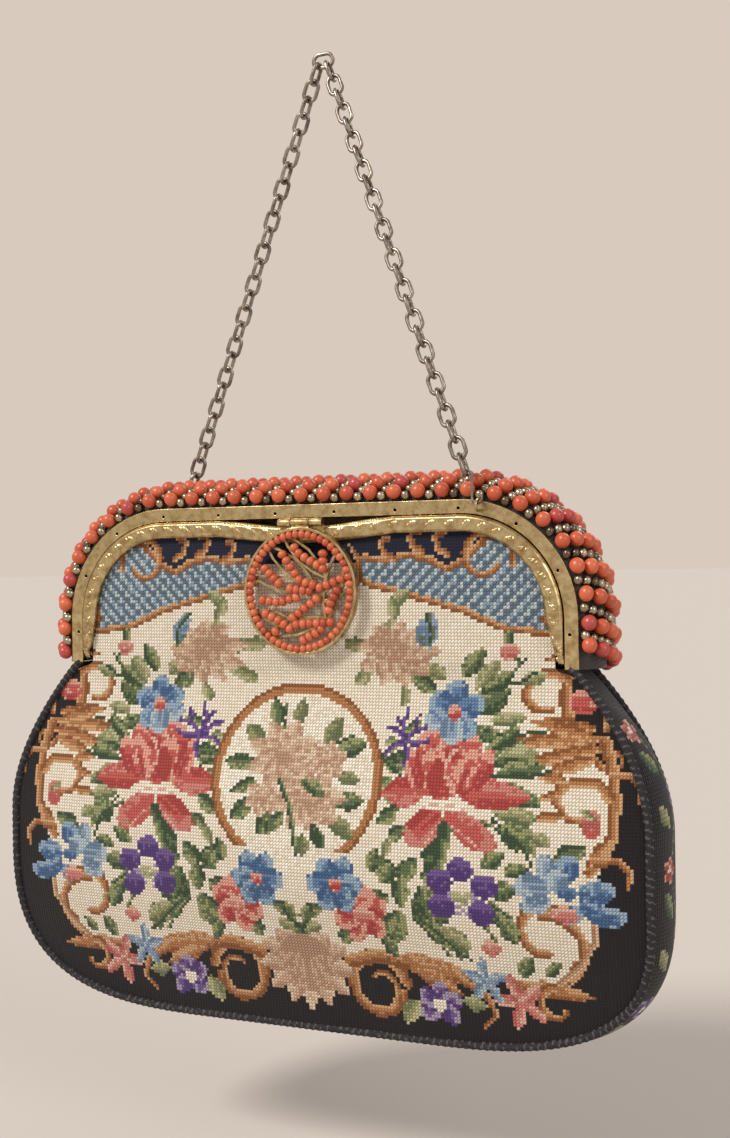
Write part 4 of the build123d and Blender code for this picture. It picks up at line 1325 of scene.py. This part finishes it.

# %% [markdown]
# The second is the tent stitch. In each cell of the stitch coordinates, with u and v from the
# cell's middle, the reach is the root of a * a + b * b, where a = 0.95 (u + v) runs along the
# slanted thread and b = 1.75 (u - v) across it. Height falls from 1 as the reach grows. Where the
# reach passes 0.62 begins the gap mask, for painted shade in the low gaps between stitches.
# %% Tent stitch
tent, tent_in, tent_out = new_group(
    "tent_stitch", [("Cell", "NodeSocketVector", None)],
    [("Height", "NodeSocketFloat"), ("Gap", "NodeSocketFloat")])
parts = tent.nodes.new("ShaderNodeSeparateXYZ")
tent.links.new(tent_in.outputs["Cell"], parts.inputs[0])
u = math_node(tent, "SUBTRACT", math_node(tent, "FRACT", parts.outputs[0]), 0.5)
v = math_node(tent, "SUBTRACT", math_node(tent, "FRACT", parts.outputs[1]), 0.5)
along = math_node(tent, "MULTIPLY", math_node(tent, "ADD", u, v), 0.95)
across = math_node(tent, "MULTIPLY", math_node(tent, "SUBTRACT", u, v), 1.75)
squares = [math_node(tent, "MULTIPLY", part, part) for part in (along, across)]
reach = math_node(tent, "SQRT", math_node(tent, "ADD", *squares))
fallen = math_node(tent, "SUBTRACT", 1.0, math_node(tent, "MULTIPLY", reach, 1.25))
height = math_node(tent, "MAXIMUM", fallen, 0.0)
tent.links.new(math_node(tent, "POWER", height, 0.6), tent_out.inputs["Height"])
# The gap mask marks where painted shade darkens the stitch colour, in the low gaps between stitches.
gap = math_node(tent, "MULTIPLY", math_node(tent, "SUBTRACT", reach, 0.62), 4.0)
gap_shade_clamp = tent.nodes.new("ShaderNodeClamp")
tent.links.new(gap, gap_shade_clamp.inputs["Value"])
tent.links.new(gap_shade_clamp.outputs[0], tent_out.inputs["Gap"])
print("effect:", tent.name)

# %% [markdown]
# Each finish is one function. These helpers start a material, mix two colours by a mask, turn
# a mask into a range of values, and raise a bump from a height.
# %% Helpers for materials
def new_material(name):
    """A material, its node tree and its shader."""
    material = bpy.data.materials.new(name)
    material.use_nodes = True
    tree = material.node_tree
    return material, tree, tree.nodes["Principled BSDF"]


def place_vector(tree):
    """Places on the piece, as texture coordinates."""
    return tree.nodes.new("ShaderNodeTexCoord").outputs["Object"]


def mixed(tree, mask, first, second):
    """A colour between two; each is a colour or a socket."""
    mix = tree.nodes.new("ShaderNodeMix")
    mix.data_type = "RGBA"
    tree.links.new(mask, mix.inputs["Factor"])
    for socket, value in ((mix.inputs[6], first), (mix.inputs[7], second)):
        if isinstance(value, np.ndarray):
            socket.default_value = (*value.tolist(), 1)
        else:
            tree.links.new(value, socket)
    return mix.outputs[2]


def mapped(tree, value, low, high):
    """A mask from 0 to 1 turned into values from low to high."""
    node = tree.nodes.new("ShaderNodeMapRange")
    node.inputs["To Min"].default_value, node.inputs["To Max"].default_value = low, high
    tree.links.new(value, node.inputs["Value"])
    return node.outputs["Result"]


def bumped(tree, shader, height, strength, distance):
    """A bump on the shader's surface, from a height; distance is in metres."""
    bump = tree.nodes.new("ShaderNodeBump")
    bump.inputs["Strength"].default_value = strength
    bump.inputs["Distance"].default_value = distance
    tree.links.new(height, bump.inputs["Height"])
    tree.links.new(bump.outputs["Normal"], shader.inputs["Normal"])


print("effects to use:", len(bpy.data.node_groups))

# %% [markdown]
# Metal takes its base colour through the wear mask, so worn patches are browner and rougher.
# %% Old metal
def old_metal(name, bright, dull, low_rough, high_rough, size):
    """Bright metal, worn to a dull tone where the mask is high."""
    material, tree, shader = new_material(name)
    group = tree.nodes.new("ShaderNodeGroup")
    group.node_tree = wear
    group.inputs["Size"].default_value = size
    tree.links.new(place_vector(tree), group.inputs["Place"])
    mask = group.outputs["Mask"]
    tree.links.new(mixed(tree, mask, bright, dull), shader.inputs["Base Color"])
    tree.links.new(mapped(tree, mask, low_rough, high_rough), shader.inputs["Roughness"])
    shader.inputs["Metallic"].default_value = 1.0
    bumped(tree, shader, mask, 0.25, 0.00008)
    return material


gilt = old_metal("worn_gilt", thread(226, 202, 150), thread(160, 132, 88), 0.24, 0.44, 420)
tarnish = old_metal("tarnished_chain", thread(184, 174, 160), thread(112, 98, 88), 0.26, 0.46, 300)
print("metals:", gilt.name, tarnish.name)

# %% [markdown]
# Beads take the colour stored on them, under a thin polish.
# %% Beads
def bead_material(name, roughness, metallic, coat):
    """The colour comes with each bead; fine noise breaks up its gloss."""
    material, tree, shader = new_material(name)
    colour = tree.nodes.new("ShaderNodeVertexColor")
    colour.layer_name = "threads"
    noise = tree.nodes.new("ShaderNodeTexNoise")
    noise.inputs["Scale"].default_value = 900
    tree.links.new(place_vector(tree), noise.inputs["Vector"])
    tree.links.new(colour.outputs["Color"], shader.inputs["Base Color"])
    gloss = mapped(tree, noise.outputs["Fac"], roughness - 0.1, roughness + 0.12)
    tree.links.new(gloss, shader.inputs["Roughness"])
    shader.inputs["Metallic"].default_value = metallic
    shader.inputs["Coat Weight"].default_value = coat
    shader.inputs["Coat Roughness"].default_value = 0.2
    return material


coral_finish = bead_material("polished_coral", 0.38, 0.0, 0.25)
metal_bead_finish = bead_material("pale_metal_beads", 0.3, 1.0, 0.0)
print("bead finishes:", coral_finish.name, metal_bead_finish.name)

# %% [markdown]
# Needlework takes the colour of each stitch, darkened in the gaps by painted shade, and its bump
# comes from the stitch's own height. The cords take their stored colour alone.
# %% Stitches and cords
def stitched_material(name):
    """Stitch colours through the tent stitch: painted shade in the gaps, and raised threads."""
    material, tree, shader = new_material(name)
    group = tree.nodes.new("ShaderNodeGroup")
    group.node_tree = tent
    cell = tree.nodes.new("ShaderNodeUVMap")
    cell.uv_map = "cloth"
    tree.links.new(cell.outputs["UV"], group.inputs["Cell"])
    colour = tree.nodes.new("ShaderNodeVertexColor")
    colour.layer_name = "threads"
    # Painted shade: each stitch colour is multiplied down to about half in the gaps between stitches.
    dark = tree.nodes.new("ShaderNodeMix")
    dark.data_type, dark.blend_type = "RGBA", "MULTIPLY"
    dark.inputs[7].default_value = (0.52, 0.48, 0.44, 1)
    tree.links.new(group.outputs["Gap"], dark.inputs["Factor"])
    tree.links.new(colour.outputs["Color"], dark.inputs[6])
    tree.links.new(dark.outputs[2], shader.inputs["Base Color"])
    shader.inputs["Roughness"].default_value = 0.85
    shader.inputs["Sheen Weight"].default_value = 0.15
    shader.inputs["Specular IOR Level"].default_value = 0.25
    bumped(tree, shader, group.outputs["Height"], 0.8, 0.00018)
    return material


def cord_material(name):
    """Matt thread in its stored colour."""
    material, tree, shader = new_material(name)
    colour = tree.nodes.new("ShaderNodeVertexColor")
    colour.layer_name = "threads"
    tree.links.new(colour.outputs["Color"], shader.inputs["Base Color"])
    shader.inputs["Roughness"].default_value = 0.8
    return material


needlework = stitched_material("needlework_stitches")
whipping = cord_material("whipped_cord")
print("stitched finishes:", needlework.name, whipping.name)

# %% [markdown]
# Silk and felt are plain cloths: one colour clouded by another, over fine crossed threads.
# %% Plain cloths
def plain_cloth(name, colour, shade, size, strength):
    """Fine crossed threads from two sine waves, with soft cloudy shading."""
    material, tree, shader = new_material(name)
    place = place_vector(tree)
    noise = tree.nodes.new("ShaderNodeTexNoise")
    noise.inputs["Scale"].default_value = 60
    tree.links.new(place, noise.inputs["Vector"])
    tree.links.new(mixed(tree, noise.outputs["Fac"], colour, shade), shader.inputs["Base Color"])
    split = tree.nodes.new("ShaderNodeSeparateXYZ")
    tree.links.new(place, split.inputs[0])
    lines = [math_node(tree, "SINE", math_node(tree, "MULTIPLY", split.outputs[k], size))
             for k in (0, 2)]
    bumped(tree, shader, math_node(tree, "MULTIPLY", lines[0], lines[1]), strength, 0.0001)
    shader.inputs["Roughness"].default_value = 0.6
    shader.inputs["Sheen Weight"].default_value = 0.3
    return material


silk = plain_cloth("faded_silk", thread(186, 168, 138), thread(160, 140, 110), 9000, 0.3)
felt = plain_cloth("dark_felt", thread(44, 38, 36), thread(28, 24, 24), 5000, 0.5)
print("plain cloths:", silk.name, felt.name)

# %% [markdown]
# Every piece gets one finish, and so do the solid pieces that stay.
# %% Finishes put on
def finish(piece, material):
    """One material alone on a piece."""
    piece.data.materials.clear()
    piece.data.materials.append(material)


for piece in (front, back, gusset):
    finish(piece, needlework)
for piece in (cord_front, cord_back):
    finish(piece, whipping)
for piece in (coral_rows, rim_beads, string_beads):
    finish(piece, coral_finish)
for piece in chains + [nodes["hook_right"], nodes["hook_left"]]:
    finish(piece, tarnish)
for name in ("outer_frame", "front_frame", "clasp_rim", "clasp_leaves", "clasp_hinge", "clasp_pin",
             "hinge_pin_left", "hinge_pin_right", "eye_right", "eye_left"):
    finish(nodes[name], gilt)
finish(moulding, gilt)
finish(metal_rows, metal_bead_finish)
for piece in (lining, front_lining, back_lining):
    finish(piece, silk)
finish(roll, felt)
print("materials:", len(bpy.data.materials))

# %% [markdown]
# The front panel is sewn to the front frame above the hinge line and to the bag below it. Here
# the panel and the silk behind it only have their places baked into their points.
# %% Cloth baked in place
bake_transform(front)
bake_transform(front_lining)


# %% [markdown]
# The bag hangs in a soft studio. A pale matt floor lies a little way below it.
# %% The floor
floor_drop, floor_reach = 45, 40000
floor_mesh = bpy.data.meshes.new("floor")
low = bottom_height - floor_drop
corners = [tuple(in_metres((x * floor_reach, y * floor_reach, low)))
           for x, y in ((-1, -1), (1, -1), (1, 1), (-1, 1))]
floor_mesh.from_pydata(corners, [], [(0, 1, 2, 3)])
floor_mesh.update()
floor = bpy.data.objects.new("floor", floor_mesh)
bpy.context.scene.collection.objects.link(floor)
floor_material, tree, shader = new_material("pale_floor")
shader.inputs["Base Color"].default_value = (*thread(207, 197, 189).tolist(), 1)
shader.inputs["Roughness"].default_value = 0.9
shader.inputs["Specular IOR Level"].default_value = 0.1
finish(floor, floor_material)
print("floor", round((middle[2] - corners[0][2]) / MM), "mm below the bag's middle")

# %% [markdown]
# Pale air all round comes from the world. The camera sees it in one even tone, and the bag is
# lit by it more softly.
# %% The air
pale = thread(216, 203, 190)
world = bpy.data.worlds.new("pale_air")
bpy.context.scene.world = world
world.use_nodes = True
tree = world.node_tree
air = tree.nodes["Background"]
air.inputs["Color"].default_value = (0.96, 0.93, 0.9, 1)
air.inputs["Strength"].default_value = 0.5
seen = tree.nodes.new("ShaderNodeBackground")
seen.inputs["Color"].default_value = (*pale.tolist(), 1)
seen.inputs["Strength"].default_value = 1.0
path = tree.nodes.new("ShaderNodeLightPath")
choose = tree.nodes.new("ShaderNodeMixShader")
tree.links.new(path.outputs["Is Camera Ray"], choose.inputs[0])
tree.links.new(air.outputs[0], choose.inputs[1])
tree.links.new(seen.outputs[0], choose.inputs[2])
tree.links.new(choose.outputs[0], tree.nodes["World Output"].inputs["Surface"])
print("air:", world.name)

# %% [markdown]
# The main light comes from above on the left in front, and two weaker ones from the right and
# from behind. All three are distant, so the floor is evenly lit.
# %% Lights
def soft_sun(name, azimuth, elevation, spread, strength, colour):
    """A distant light from a side, in degrees from the front, and a height above level."""
    light = bpy.data.lights.new(name, "SUN")
    light.angle, light.energy, light.color = math.radians(spread), strength, colour
    lamp = bpy.data.objects.new(name, light)
    bpy.context.scene.collection.objects.link(lamp)
    side, rise = math.radians(azimuth), math.radians(elevation)
    toward = Vector((math.sin(side) * math.cos(rise), -math.cos(side) * math.cos(rise), math.sin(rise)))
    aim = toward.to_track_quat("Z", "Y").to_matrix().to_4x4()
    lamp.matrix_world = Matrix.Translation(in_metres(toward * 500)) @ aim
    return lamp


lamps = [soft_sun("key", -34, 40, 14, 2.2, (1.0, 0.97, 0.93)),
         soft_sun("fill", 60, 25, 30, 0.7, (0.95, 0.97, 1.0)),
         soft_sun("back", 165, 40, 30, 0.6, (1.0, 0.98, 0.95))]
bpy.context.scene.view_settings.view_transform = "Standard"
print("lights:", len(lamps))
